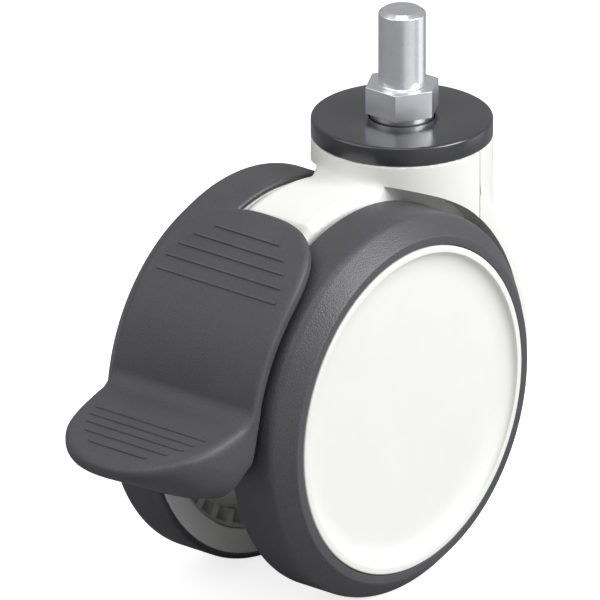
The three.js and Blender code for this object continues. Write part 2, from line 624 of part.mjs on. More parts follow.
caster.add(
  mesh('threaded_stem', stem(), STEEL),
  mesh('swivel_lock_crown', lockCrown(), STEEL),
  mesh('stem_retaining_ring', stemRetainingRing(), STEEL),
  mesh('dust_cover', dustCover(), DARK_PLASTIC),
  mesh('housing', housing(), WHITE_PLASTIC),
  mesh('rear_fender', rearFender(), WHITE_PLASTIC),
  ...uprightBearing('upper', UPPER_BEARING),
  ...uprightBearing('lower', LOWER_BEARING),
  mesh('swivel_lock_slider', swivelSlider(), ACETAL),
  mesh('detent_spring', detentSpring(), STEEL),
  mesh('pedal', pedal(), GREY_PLASTIC),
  mesh('pedal_cam', pedalCam(), STEEL),
);

const axleLine = new THREE.Group();
axleLine.position.set(WHEEL.x, 0, WHEEL.z);
const leftWheel = wheelSide('left');
const rightWheel = wheelSide('right');
rightWheel.rotation.z = Math.PI;
const axle = turnedAboutY([
  [0, -AXLE.end], [AXLE.radius - 0.6, -AXLE.end], [AXLE.radius, -AXLE.end + 0.6],
  [AXLE.radius, AXLE.end - 0.6], [AXLE.radius - 0.6, AXLE.end], [0, AXLE.end],
], AXLE.segments);
axleLine.add(leftWheel, rightWheel, mesh('wheel_axle', axle, STEEL));

// Round bars along Y, placed from the wheel centre.
function crossPin(name, x, z, radius, halfLength, segments) {
  const pin = mesh(name, discAboutY(radius, -halfLength, halfLength, segments), STEEL);
  pin.position.set(x, 0, z);
  return pin;
}

const barAngle = radians(LOCK.barAngle);
axleLine.add(
  crossPin('pedal_pivot_pin', LOCK.pivotX, LOCK.pivotZ, LOCK.pinRadius, ARCH.halfWidth - 0.2,
    AXLE.segments),
  crossPin('cam_drive_pin', LOCK.drivePinX, LOCK.drivePinZ, LOCK.drivePinRadius,
    CHAMBER.halfWidth - 0.6, AXLE.segments),
  crossPin('wheel_lock_bar', LOCK.barRest * Math.cos(barAngle), LOCK.barRest * Math.sin(barAngle),
    LOCK.barRadius, LOCK.barHalfLength, 20),
);
caster.add(axleLine);

export default caster;
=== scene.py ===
"""Looks of a twin-wheel swivel caster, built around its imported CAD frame.

Metres, +Z up. The swivel axis is Z, +X points to the wheels and the pedal, and the axle lies
along Y. Places in a wheel's plane are counted from the axle: across is along +X and height
along +Z.
"""

import json
import logging
import math
from collections.abc import Callable, Sequence
from dataclasses import dataclass
from enum import Enum

import bpy
import numpy as np
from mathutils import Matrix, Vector

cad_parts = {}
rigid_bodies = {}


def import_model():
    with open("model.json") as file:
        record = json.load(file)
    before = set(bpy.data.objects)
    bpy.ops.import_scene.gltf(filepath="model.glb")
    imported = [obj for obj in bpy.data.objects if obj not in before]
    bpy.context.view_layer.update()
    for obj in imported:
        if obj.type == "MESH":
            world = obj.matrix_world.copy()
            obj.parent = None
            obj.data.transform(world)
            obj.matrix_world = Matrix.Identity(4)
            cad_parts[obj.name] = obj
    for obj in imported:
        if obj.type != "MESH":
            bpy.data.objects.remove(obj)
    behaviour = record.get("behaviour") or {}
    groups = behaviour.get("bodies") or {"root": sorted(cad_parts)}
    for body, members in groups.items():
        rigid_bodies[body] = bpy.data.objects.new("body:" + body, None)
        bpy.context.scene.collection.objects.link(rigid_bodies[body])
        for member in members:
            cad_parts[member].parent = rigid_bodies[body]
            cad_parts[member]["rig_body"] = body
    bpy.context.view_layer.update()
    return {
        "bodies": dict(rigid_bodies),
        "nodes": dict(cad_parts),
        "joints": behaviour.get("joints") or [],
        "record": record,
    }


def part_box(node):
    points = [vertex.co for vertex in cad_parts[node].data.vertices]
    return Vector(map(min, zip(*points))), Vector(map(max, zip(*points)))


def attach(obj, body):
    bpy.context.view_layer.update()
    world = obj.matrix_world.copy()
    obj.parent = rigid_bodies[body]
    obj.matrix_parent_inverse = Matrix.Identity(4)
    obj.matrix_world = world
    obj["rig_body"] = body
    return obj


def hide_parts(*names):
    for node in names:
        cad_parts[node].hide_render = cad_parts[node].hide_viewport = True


log = logging.getLogger("caster")

MM = 0.001
WIDE = 40 * MM  # half the width of a tool that cuts through everything
DEEP = -130 * MM  # a height below the whole caster
BEHIND = -60 * MM  # a place behind the whole caster
AHEAD = 120 * MM  # a place in front of it
JUST_INSIDE = -1e-6  # the distance given to a grid corner that is filled
SWIVEL = Vector((0, 0, 0))

Point2 = tuple[float, float]
Corner = tuple[float, float, float]
Colour = tuple[float, float, float]
Amount = float | Callable[[np.ndarray], np.ndarray]
Socket = bpy.types.NodeSocket
Tree = bpy.types.NodeTree


class Axis(Enum):
    """The axis that a turned or extruded part lies along."""

    Y = "y"
    Z = "z"


class Side(Enum):
    """The side of the caster that a wheel is on, with the sign of its Y."""

    LEFT = 1
    RIGHT = -1

    @property
    def word(self) -> str:
        """The side's word in the names of the CAD nodes."""
        return self.name.lower()


class Join(Enum):
    """What a boolean step does with its tool."""

    ADD = "UNION"
    CUT = "DIFFERENCE"


def mm(*corners: Sequence[float]) -> tuple[tuple[float, ...], ...]:
    """Corners that are given in millimetres, in metres."""
    return tuple(tuple(value * MM for value in corner) for corner in corners)


# ---------------------------------------------------------------- solids given by a distance


def at_points(amount: Amount, points: np.ndarray) -> float | np.ndarray:
    """An amount that is either one number or different from place to place."""
    return amount(points) if callable(amount) else amount


def soft_minimum(a: np.ndarray, b: np.ndarray, radius: float | np.ndarray) -> np.ndarray:
    """The smaller of two distances, with a round where they meet."""
    corner = np.hypot(np.maximum(radius - a, 0), np.maximum(radius - b, 0))
    return np.maximum(radius, np.minimum(a, b)) - corner


@dataclass(frozen=True)
class Body:
    """A solid given by its signed distance in metres, negative inside."""

    distance: Callable[[np.ndarray], np.ndarray]

    def joined(self, other: "Body", fillet: Amount) -> "Body":
        """Joins two solids, with a round fillet in the corner between them."""
        return Body(lambda points: soft_minimum(
            self.distance(points), other.distance(points), at_points(fillet, points)))

    def within(self, other: "Body", edge: Amount) -> "Body":
        """Keeps what lies inside both solids, with the new edge rounded."""
        return Body(lambda points: -soft_minimum(
            -self.distance(points), -other.distance(points), at_points(edge, points)))

    def cut_by(self, other: "Body", edge: float) -> "Body":
        """Takes another solid out of this one, with the new edge rounded."""
        return self.within(Body(lambda points: -other.distance(points)), edge)


def cylinder(axis: Axis, centre: Vector, radius: float) -> Body:
    """An endless cylinder along an axis through a centre.

    Args:
        axis: The axis that it lies along.
        centre: A point on its middle line.
        radius: Its radius.

    Returns:
        The cylinder.
    """
    other = 2 if axis is Axis.Y else 1
    return Body(lambda points: np.hypot(
        points[:, 0] - centre[0], points[:, other] - centre[other]) - radius)


def layer(direction: int, low: float, high: float) -> Body:
    """Everything between two planes across one of the axes, 0 for X, 1 for Y and 2 for Z."""
    middle, half = (low + high) / 2, (high - low) / 2
    return Body(lambda points: np.abs(points[:, direction] - middle) - half)


def outlined(outline: Sequence[Point2]) -> Body:
    """An endless bar along Y.

    Args:
        outline: Its (x, z) corners in order.

    Returns:
        The bar.
    """
    corners = list(outline)
    edges = list(zip(corners, corners[1:] + corners[:1]))

    def distance(points: np.ndarray) -> np.ndarray:
        """Distance to the nearest edge.

        Args:
            points: One row of x, y and z for each point.

        Returns:
            The signed distances.
        """
        x, z = points[:, 0], points[:, 2]
        nearest = np.full(len(points), np.inf)
        inside = np.zeros(len(points), bool)
        for (x0, z0), (x1, z1) in edges:
            ex, ez = x1 - x0, z1 - z0
            dx, dz = x - x0, z - z0
            along = np.clip((dx * ex + dz * ez) / (ex * ex + ez * ez), 0, 1)
            nearest = np.minimum(nearest, (dx - along * ex) ** 2 + (dz - along * ez) ** 2)
            if ez != 0:
                inside ^= ((z0 <= z) != (z1 <= z)) & (dx < dz * ex / ez)
        return np.where(inside, -1, 1) * np.sqrt(nearest)

    return Body(distance)


@dataclass(frozen=True)
class NetMaker:
    """Turns a solid that is the same on both sides of the XZ plane into an even mesh."""

    low: Vector
    high: Vector
    step: float
    block: int = 4
    padding: int = 4
    fairings: int = 3
    fairing: float = 0.5
    probe: float = 0.02
    least_slope: float = 0.05
    chunk: int = 400_000

    def _evaluated(self, body: Body, points: np.ndarray) -> np.ndarray:
        """Distances at many points, worked out a chunk at a time."""
        parts = [body.distance(points[i:i + self.chunk]) for i in range(0, len(points), self.chunk)]
        return np.concatenate(parts)

    def _sampled(self, body: Body) -> tuple[np.ndarray, np.ndarray]:
        """Samples the solid on a grid, finely near its surface and by its sign elsewhere.

        Args:
            body: The solid to sample.

        Returns:
            The grid of distances and the place of its first corner.
        """
        low, high = (np.array(end) + way * self.padding * self.step
                     for end, way in ((self.low, -1), (self.high, 1)))
        blocks = np.ceil((high - low) / self.step / self.block).astype(int)
        corner = (low + high) / 2 - blocks * self.block * self.step / 2
        index = np.argwhere(np.ones(blocks))
        centres = corner + (index * self.block + (self.block - 1) / 2) * self.step
        coarse = self._evaluated(body, centres)
        values = np.sign(coarse).reshape(blocks)
        for direction in range(3):
            values = np.repeat(values, self.block, axis=direction)
        near = index[np.abs(coarse) < 2 * self.block * self.step] * self.block
        inner = np.argwhere(np.ones([self.block] * 3))
        fine = (near[:, None] + inner).reshape(-1, 3)
        values[tuple(fine.T)] = self._evaluated(body, corner + fine * self.step)
        return values, corner

    def _untangled(self, values: np.ndarray) -> np.ndarray:
        """Fills corners until no cell face is crossed twice, so that every edge has two faces.

        Args:
            values: The grid of distances, which is changed.

        Returns:
            The same grid.
        """
        near = np.full(values.shape, True)
        while near.any():
            near = np.full(values.shape, False)
            for direction in range(3):
                turned_values, turned_near = (np.moveaxis(a, direction, 0) for a in (values, near))
                squares = [turned_values[:, i:i - 1 or None, j:j - 1 or None]
                           for i, j in ((0, 0), (1, 0), (1, 1), (0, 1))]
                a, b, c, d = (square < 0 for square in squares)
                crossed = (a == c) & (b == d) & (a != b)
                for first, places in ((a, ((0, 1), (1, 0))), (b, ((0, 0), (1, 1)))):
                    at = np.argwhere(crossed & first)
                    options = [tuple((at + (0, *place)).T) for place in places]
                    chosen = turned_values[options[0]] < turned_values[options[1]]
                    for option, pick in zip(options, (chosen, ~chosen)):
                        spots = tuple(part[pick] for part in option)
                        turned_values[spots] = JUST_INSIDE
                        turned_near[spots] = True
        return values

    def _net(self, values: np.ndarray) -> tuple[np.ndarray, np.ndarray]:
        """Puts one corner in each cell that the surface crosses and joins neighbours with quads.

        Args:
            values: The grid of distances.

        Returns:
            Corners in grid steps, and quads that turn outward.
        """
        inside = values < 0
        cells = tuple(n - 1 for n in values.shape)
        offsets = np.argwhere(np.ones((2, 2, 2)))
        count = sum(
            inside[o[0]:o[0] + cells[0], o[1]:o[1] + cells[1], o[2]:o[2] + cells[2]].astype(np.int8)
            for o in offsets)
        active = np.argwhere((count > 0) & (count < 8))
        total, crossings = np.zeros((len(active), 3)), np.zeros(len(active))
        for start in offsets:
            for direction in range(3):
                if start[direction]:
                    continue
                end = start.copy()
                end[direction] = 1
                a, b = values[tuple((active + start).T)], values[tuple((active + end).T)]
                crossed = (a < 0) != (b < 0)
                share = np.where(crossed, a / np.where(crossed, a - b, 1), 0)
                total += crossed[:, None] * (start + share[:, None] * (end - start))
                crossings += crossed
        lookup = np.full(cells, -1, np.int64)
        lookup[tuple(active.T)] = np.arange(len(active))
        quads = []
        for direction in range(3):
            b, c = (direction + 1) % 3, (direction + 2) % 3
            ahead, behind = [slice(None)] * 3, [slice(None)] * 3
            ahead[direction], behind[direction] = slice(1, None), slice(None, -1)
            changed = inside[tuple(behind)] != inside[tuple(ahead)]
            at = np.argwhere(changed)
            at = at[(at[:, b] > 0) & (at[:, c] > 0) & (at[:, b] < cells[b]) & (at[:, c] < cells[c])]
            step_b, step_c = np.eye(3, dtype=int)[b], np.eye(3, dtype=int)[c]
            around = [at - step_b - step_c, at - step_c, at, at - step_b]
            found = np.stack([lookup[tuple(cell.T)] for cell in around], 1)
            outward = inside[tuple(at.T)]
            quads.append(np.where(outward[:, None], found, found[:, ::-1]))
        return active + total / crossings[:, None], np.concatenate(quads)

    def _settled(self, body: Body, corners: np.ndarray) -> np.ndarray:
        """Moves each corner onto the surface along the steepest way.

        Args:
            body: The solid.
            corners: The corners to move.

        Returns:
            The moved corners.
        """
        reach = self.step * self.probe
        for _ in range(2):
            value = self._evaluated(body, corners)
            slope = np.empty_like(corners)
            for direction in range(3):
                shift = np.eye(3)[direction] * reach
                ahead, behind = (self._evaluated(body, corners + way * shift) for way in (1, -1))
                slope[:, direction] = (ahead - behind) / (2 * reach)
            steep = np.maximum((slope ** 2).sum(1), self.least_slope)
            move = -(value / steep)[:, None] * slope
            length = np.linalg.norm(move, axis=1, keepdims=True)
            corners = corners + move * np.minimum(1, self.step / np.maximum(length, 1e-12))
        return corners

    def made(self, name: str, body: Body) -> bpy.types.Object:
        """Makes the mesh of a solid, with its corners evenly spread on the true surface.

        Args:
            name: Name of the new object.
            body: The solid.

        Returns:
            The new object.
        """
        values, first = self._sampled(body)
        corners, quads = self._net(self._untangled(values))
        corners = self._settled(body, first + corners * self.step)
        ends = np.concatenate([quads[:, [i, (i + 1) % 4]] for i in range(4)])
        uses = np.maximum(np.bincount(ends[:, 0], minlength=len(corners)), 1)[:, None]
        for _ in range(self.fairings):
            mean = np.stack([
                np.bincount(ends[:, 0], corners[ends[:, 1], k], len(corners)) for k in range(3)], 1)
            corners = self._settled(body, corners + self.fairing * (mean / uses - corners))
        return mesh_piece(name, corners, quads)


# ---------------------------------------------------------------- mesh building


def mesh_piece(name: str, corners: Sequence[Corner] | np.ndarray,
               faces: Sequence[Sequence[int]]) -> bpy.types.Object:
    """Makes a mesh object from corners and faces and links it to the scene.

    Args:
        name: Name of the object and of its mesh.
        corners: One row of x, y and z for each corner.
        faces: The corner numbers of each face.

    Returns:
        The new object.
    """
    mesh = bpy.data.meshes.new(name)
    mesh.from_pydata(np.asarray(corners).tolist(), [], [list(map(int, f)) for f in faces])
    mesh.update()
    piece = bpy.data.objects.new(name, mesh)
    bpy.context.scene.collection.objects.link(piece)
    return piece


def smoothed(piece: bpy.types.Object, sharp_above: float = 40.0) -> bpy.types.Object:
    """Shades a piece smoothly, apart from its sharp edges.

    Args:
        piece: The piece.
        sharp_above: The turn in degrees above which an edge stays sharp.

    Returns:
        The same piece.
    """
    piece.data.shade_smooth()
    piece.data.set_sharp_from_angle(angle=math.radians(sharp_above))
    return piece


def boolean(piece: bpy.types.Object, tool: bpy.types.Object, join: Join) -> bpy.types.Object:
    """Adds a tool to a piece or cuts it out, and removes the tool.

    Args:
        piece: The piece that is changed.
        tool: A closed mesh.
        join: What to do with the tool.

    Returns:
        The changed piece.
    """
    modifier = piece.modifiers.new(join.name, "BOOLEAN")
    modifier.operation, modifier.solver, modifier.object = join.value, "MANIFOLD", tool
    bpy.context.view_layer.update()
    depsgraph = bpy.context.evaluated_depsgraph_get()
    mesh = bpy.data.meshes.new_from_object(piece.evaluated_get(depsgraph))
    piece.modifiers.clear()
    old = piece.data
    piece.data = mesh
    if len(mesh.polygons) == len(old.polygons):
        raise ValueError(f"{piece.name}: the {join.name} step changed nothing")
    bpy.data.meshes.remove(old)
    bpy.data.objects.remove(tool)
    return piece


def arc(centre: Point2, radius: float, start: float, end: float, steps: int) -> list[Point2]:
    """Points of an arc in a plane, with its angles in degrees."""
    angles = np.radians(np.linspace(start, end, steps + 1))
    return [(centre[0] + radius * math.cos(a), centre[1] + radius * math.sin(a)) for a in angles]


def rounded(corners: Sequence[Corner], steps: int = 5) -> list[Point2]:
    """Rounds the corners of a closed outline.

    Args:
        corners: Across, along and rounding radius of each corner.
        steps: Number of steps in each rounded corner.

    Returns:
        The points of the rounded outline.
    """
    points: list[Point2] = []
    for i, (x, y, radius) in enumerate(corners):
        here = Vector((x, y))
        if radius == 0:
            points.append((x, y))
            continue
        before = (Vector(corners[i - 1][:2]) - here).normalized()
        after = (Vector(corners[(i + 1) % len(corners)][:2]) - here).normalized()
        half = before.angle(after) / 2
        centre = here + (before + after).normalized() * (radius / math.sin(half))
        start, end = (here + way * (radius / math.tan(half)) - centre for way in (before, after))
        first = math.atan2(start.y, start.x)
        turn = (math.atan2(end.y, end.x) - first + math.pi) % (2 * math.pi) - math.pi
        for step in range(steps + 1):
            angle = first + turn * step / steps
            points.append((centre.x + radius * math.cos(angle),
                           centre.y + radius * math.sin(angle)))
    return points


def turned(name: str, outline: Sequence[Point2], axis: Axis, centre: Vector,
           segments: int = 160) -> bpy.types.Object:
    """Turns an outline about an axis.

    Args:
        name: Name of the new object.
        outline: Closed outline of (radius, along) points. It may start and end on the axis.
        axis: The axis to turn about.
        centre: A point on the axis, where along is 0.
        segments: Number of steps in a full turn.

    Returns:
        The new object.
    """
    radii, along = np.array(outline).T
    angles = np.arange(segments) * 2 * math.pi / segments
    ring_u, ring_v = np.outer(radii, np.cos(angles)), np.outer(radii, np.sin(angles))
    level = np.repeat(along[:, None], segments, axis=1)
    grid = (ring_u, level, -ring_v) if axis is Axis.Y else (ring_u, ring_v, level)
    corners = np.stack(grid, -1).reshape(-1, 3) + np.array(centre)
    count = len(outline)
    on_axis = radii < 1e-9
    number = np.arange(count * segments).reshape(count, segments)
    number[on_axis] = number[on_axis][:, :1]
    faces = []
    for i in range(count):
        after = (i + 1) % count
        if on_axis[i] and on_axis[after]:
            continue
        for j in range(segments):
            k = (j + 1) % segments
            face = [number[i, j], number[i, k], number[after, k], number[after, j]]
            faces.append(list(dict.fromkeys(face)))
    used = sorted({n for f in faces for n in f})
    renumbered = {n: i for i, n in enumerate(used)}
    piece = mesh_piece(name, corners[used], [[renumbered[n] for n in f] for f in faces])
    return outward(piece)


def outward(piece: bpy.types.Object) -> bpy.types.Object:
    """Turns a closed mesh's faces outward if they all face inward.

    Args:
        piece: The piece.

    Returns:
        The same piece.
    """
    mesh = piece.data
    mesh.calc_loop_triangles()
    corners = np.array([v.co for v in mesh.vertices])
    a, b, c = (corners[[t.vertices[k] for t in mesh.loop_triangles]] for k in range(3))
    if (a * np.cross(b, c)).sum() < 0:
        mesh.flip_normals()
    return piece


def bands(count: int, rows: int, closed: bool = False) -> list[list[int]]:
    """Quads between neighbouring rows of corners, each row a closed loop.

    Args:
        count: Number of corners in a row.
        rows: Number of rows.
        closed: Whether the last row joins the first.

    Returns:
        The corner numbers of each quad.
    """
    faces = []
    for row in range(rows if closed else rows - 1):
        here, after = row * count, (row + 1) % rows * count
        for i in range(count):
            j = (i + 1) % count
            faces.append([here + i, here + j, after + j, after + i])
    return faces


def extruded(name: str, outline: Sequence[Point2], axis: Axis,
             levels: Sequence[Point2]) -> bpy.types.Object:
    """Extrudes an outline through several levels, each with its own inset towards the middle.

    Args:
        name: Name of the new object.
        outline: Closed outline, of (x, z) points along Y or of (x, y) points along Z.
        axis: The axis to extrude along.
        levels: Place along the axis and inset of each level, first to last.

    Returns:
        The new object.
    """
    flat = np.array(outline)
    middle = flat.mean(0)
    size = np.linalg.norm(flat - middle, axis=1).max()
    rows = []
    for place, inset in levels:
        u, v = (middle + (flat - middle) * (1 - inset / size)).T
        w = np.full(len(flat), place)
        rows.append(np.stack((u, w, v) if axis is Axis.Y else (u, v, w), -1))
    count = len(flat)
    ends = [list(range(count))[::-1], list(range((len(rows) - 1) * count, len(rows) * count))]
    faces = ends + bands(count, len(rows))
    return outward(mesh_piece(name, np.concatenate(rows), faces))


def bar_tool(outline: Sequence[Point2], low: float, high: float) -> bpy.types.Object:
    """A straight bar along Y with an outline of (x, z) corners."""
    return extruded("tool", outline, Axis.Y, [(low, 0), (high, 0)])


def box_tool(low: Sequence[float], high: Sequence[float]) -> bpy.types.Object:
    """A plain box between two corners, for cutting."""
    outline = [(low[0], low[2]), (high[0], low[2]), (high[0], high[2]), (low[0], high[2])]
    return bar_tool(outline, low[1], high[1])


def rod_tool(axis: Axis, centre: Vector, radius: float, low: float, high: float,
             segments: int = 96) -> bpy.types.Object:
    """A round rod between two places along its axis, counted from its centre, for cutting."""
    outline = [(0, low), (radius, low), (radius, high), (0, high)]
    return turned("tool", outline, axis, centre, segments)


# ---------------------------------------------------------------- places from the frame


@dataclass(frozen=True)
class Layout:
    """The places that several sub-assemblies share, read from the CAD boxes."""

    axle: Vector
    wheel_radius: float
    floor: float
    housing_half_width: float

    @classmethod
    def from_frame(cls) -> "Layout":
        """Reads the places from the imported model.

        Returns:
            The layout.
        """
        low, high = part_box("tread_left")
        pin_low, pin_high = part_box("pedal_pivot_pin")
        return cls(
            axle=Vector(((low.x + high.x) / 2, 0, (low.z + high.z) / 2)),
            wheel_radius=(high.x - low.x) / 2,
            floor=low.z,
            housing_half_width=(pin_high.y - pin_low.y) / 2 + 0.2 * MM,
        )

    def point(self, across: float, height: float) -> Point2:
        """A place in the wheels' plane, from its distances to the axle, as (x, z)."""
        return (self.axle.x + across, self.axle.z + height)

    def place(self, across: float, along: float, height: float) -> Corner:
        """A place beside the wheels' plane, along the axle from its middle."""
        return (self.axle.x + across, along, self.axle.z + height)

    def placed(self, outline: Sequence[Point2]) -> list[Point2]:
        """An outline about the axle, moved to its place."""
        return [self.point(across, height) for across, height in outline]


# ---------------------------------------------------------------- shader groups


def node(tree: Tree, kind: str, **settings: object) -> bpy.types.Node:
    """Adds a shader node and sets its options and unlinked inputs.

    Args:
        tree: The node tree.
        kind: The node's type without its ShaderNode prefix.
        settings: Options by name, and input values by name with spaces as underscores.

    Returns:
        The new node.
    """
    made = tree.nodes.new("ShaderNode" + kind)
    for name, value in settings.items():
        if hasattr(made, name):
            setattr(made, name, value)
        else:
            made.inputs[name.replace("_", " ")].default_value = value
    return made


def fed(tree: Tree, socket: Socket, value: Socket | Colour | float) -> None:
    """Links a socket to another one, or sets its number or colour.

    Args:
        tree: The node tree.
        socket: The input to feed.
        value: What to feed it.
    """
    if isinstance(value, bpy.types.NodeSocket):
        tree.links.new(value, socket)
    else:
        socket.default_value = (*value, 1) if isinstance(value, tuple) else value


def calculated(tree: Tree, operation: str, *values: Socket | float) -> Socket:
    """The result of a Math node.

    Args:
        tree: The node tree.
        operation: The node's operation.
        values: Sockets or plain numbers.

    Returns:
        The socket with the result.
    """
    made = node(tree, "Math", operation=operation)
    for socket, value in zip(made.inputs, values):
        fed(tree, socket, value)
    return made.outputs[0]


def remapped(tree: Tree, value: Socket, source: Point2, target: Point2 = (0, 1)) -> Socket:
    """A value moved from one range to another, held at its ends.

    Args:
        tree: The node tree.
        value: The value.
        source: The range that it comes in.
        target: The range that it goes out in.

    Returns:
        The socket with the result.
    """
    made = node(tree, "MapRange", From_Min=source[0], From_Max=source[1], To_Min=target[0],
                To_Max=target[1])
    fed(tree, made.inputs["Value"], value)
    return made.outputs["Result"]


def mixed(tree: Tree, share: Socket, first: Socket | Colour, second: Socket | Colour) -> Socket:
    """Two colours mixed by a mask.

    Args:
        tree: The node tree.
        share: The mask, 0 for the first and 1 for the second.
        first: The first colour.
        second: The second colour.

    Returns:
        The socket with the result.
    """
    made = node(tree, "Mix", data_type="RGBA")
    for socket, value in zip((made.inputs["Factor"], *made.inputs[6:8]), (share, first, second)):
        fed(tree, socket, value)
    return made.outputs[2]


def textured(tree: Tree, kind: str, size: Socket, **settings: object) -> bpy.types.Node:
    """Adds a texture that is fixed to the object.

    Args:
        tree: The node tree.
        kind: The texture node's type.
        size: The socket with the size of its features.
        settings: The node's settings.

    Returns:
        The new node.
    """
    made = node(tree, kind, **settings)
    fed(tree, made.inputs["Vector"], node(tree, "TexCoord").outputs["Object"])
    fed(tree, made.inputs["Scale"], calculated(tree, "DIVIDE", 1.0, size))
    return made


class ShaderGroups:
    """The effects that several materials share, each a node group that is built once."""

    def __init__(self) -> None:
        """Builds the groups."""
        self.grain = self._moulded_grain()
        self.mottle = self._mottle()
        # The edge group paints a highlight: it lightens outer edges.
        self.wear = self._edge_wear()
        self.turning = self._turning_marks()

    @staticmethod
    def _group(name: str, inputs: Sequence[str], outputs: Sequence[str]) -> tuple[Tree, dict]:
        """Starts a group with number inputs and outputs.

        Args:
            name: Name of the group.
            inputs: Names of its inputs.
            outputs: Names of its outputs.

        Returns:
            The group's tree, and its inner sockets by name.
        """
        tree = bpy.data.node_groups.new(name, "ShaderNodeTree")
        for words, way in ((inputs, "INPUT"), (outputs, "OUTPUT")):
            for word in words:
                tree.interface.new_socket(word, in_out=way, socket_type="NodeSocketFloat")
        start, end = tree.nodes.new("NodeGroupInput"), tree.nodes.new("NodeGroupOutput")
        sockets = {word: start.outputs[word] for word in inputs}
        sockets.update({word: end.inputs[word] for word in outputs})
        return tree, sockets

    def _moulded_grain(self) -> Tree:
        """Fine pebbled grain of a sparked mould, with a height and a tone that follow it.

        Returns:
            The group.
        """
        tree, sockets = self._group("moulded_grain", ["Size"], ["Height", "Tone"])
        cells = textured(tree, "TexVoronoi", sockets["Size"], feature="SMOOTH_F1", Smoothness=0.6)
        noise = textured(tree, "TexNoise", sockets["Size"], Detail=3.0, Roughness=0.6)
        dimples = remapped(tree, cells.outputs["Distance"], (0.1, 0.75), (1, 0))
        height = calculated(tree, "MULTIPLY_ADD", dimples, 0.6, noise.outputs["Fac"])
        fed(tree, sockets["Height"], height)
        fed(tree, sockets["Tone"], remapped(tree, height, (0.55, 1.15)))
        return tree

    def _mottle(self) -> Tree:
        """Broad, faint changes of tone, as from flow in a mould or from handling.

        Returns:
            The group.
        """
        tree, sockets = self._group("mottle", ["Size"], ["Mask"])
        noise = textured(tree, "TexNoise", sockets["Size"], Detail=5.0, Roughness=0.55,
                         Distortion=0.4)
        fed(tree, sockets["Mask"], remapped(tree, noise.outputs["Fac"], (0.3, 0.7)))
        return tree

    def _edge_wear(self) -> Tree:
        """A painted highlight on outer edges: a mask that lightens them, broken up so that it
        doesn't look drawn.

        Returns:
            The group.
        """
        tree, sockets = self._group("edge_wear", ["Size", "Amount"], ["Mask"])
        # Pointiness finds outer edges, where a lighter colour is painted as a highlight.
        edges = remapped(tree, node(tree, "NewGeometry").outputs["Pointiness"], (0.51, 0.58))
        noise = textured(tree, "TexNoise", sockets["Size"], Detail=6.0, Roughness=0.7)
        patches = remapped(tree, noise.outputs["Fac"], (0.35, 0.65), (0.25, 1))
        mask = calculated(tree, "MULTIPLY", edges, patches)
        fed(tree, sockets["Mask"], calculated(tree, "MULTIPLY", mask, sockets["Amount"]))
        return tree

    def _turning_marks(self) -> Tree:
        """Fine rings left by a lathe about an upright axis, or about the axle if Cross is 1.

        Returns:
            The group.
        """
        tree, sockets = self._group(
            "turning_marks", ["Size", "Cross", "Centre X", "Centre Z"], ["Height", "Mask"])
        parts = node(tree, "SeparateXYZ")
        fed(tree, parts.inputs[0], node(tree, "TexCoord").outputs["Object"])
        x, y, z = parts.outputs
        cross = sockets["Cross"]
        upright = calculated(tree, "SUBTRACT", 1.0, cross)
        across = calculated(tree, "SUBTRACT", x, sockets["Centre X"])
        up = calculated(tree, "SUBTRACT", z, sockets["Centre Z"])
        side, along = (
            calculated(tree, "ADD", calculated(tree, "MULTIPLY", if_cross, cross),
                       calculated(tree, "MULTIPLY", if_upright, upright))
            for if_cross, if_upright in ((up, y), (y, z)))
        squares = calculated(tree, "ADD", calculated(tree, "MULTIPLY", across, across),
                             calculated(tree, "MULTIPLY", side, side))
        joined = node(tree, "CombineXYZ")
        fed(tree, joined.inputs["X"], calculated(tree, "SQRT", squares))
        fed(tree, joined.inputs["Y"], along)
        noise = node(tree, "TexNoise", Detail=4.0, Roughness=0.7)
        fed(tree, noise.inputs["Vector"], joined.outputs[0])
        fed(tree, noise.inputs["Scale"], calculated(tree, "DIVIDE", 1.0, sockets["Size"]))
        fed(tree, sockets["Height"], noise.outputs["Fac"])
        fed(tree, sockets["Mask"], remapped(tree, noise.outputs["Fac"], (0.35, 0.65)))
        return tree


def grouped(tree: Tree, group: Tree, **values: float) -> bpy.types.Node:
    """Places a shader group in a material with its own values.

    Args:
        tree: The material's node tree.
        group: The group.
        values: Its input values by name, with spaces as underscores.

    Returns:
        The group's node.
    """
    made = tree.nodes.new("ShaderNodeGroup")
    made.node_tree = group
    for name, value in values.items():
        made.inputs[name.replace("_", " ")].default_value = value
    return made


# ---------------------------------------------------------------- finishes


def started(name: str) -> tuple[bpy.types.Material, bpy.types.Node]:
    """Starts a material.

    Args:
        name: Name of the material.

    Returns:
        The material and its Principled shader.
    """
    material = bpy.data.materials.new(name)
    material.use_nodes = True
    return material, material.node_tree.nodes["Principled BSDF"]


def bumped(tree: Tree, shader: bpy.types.Node, height: Socket, distance: float) -> None:
    """Gives a shader a bump.

    Args:
        tree: The material's node tree.
        shader: The shader.
        height: The socket with the height.
        distance: How high the bump is.
    """
    bump = node(tree, "Bump", Strength=1.0, Distance=distance)
    fed(tree, bump.inputs["Height"], height)
    fed(tree, shader.inputs["Normal"], bump.outputs["Normal"])


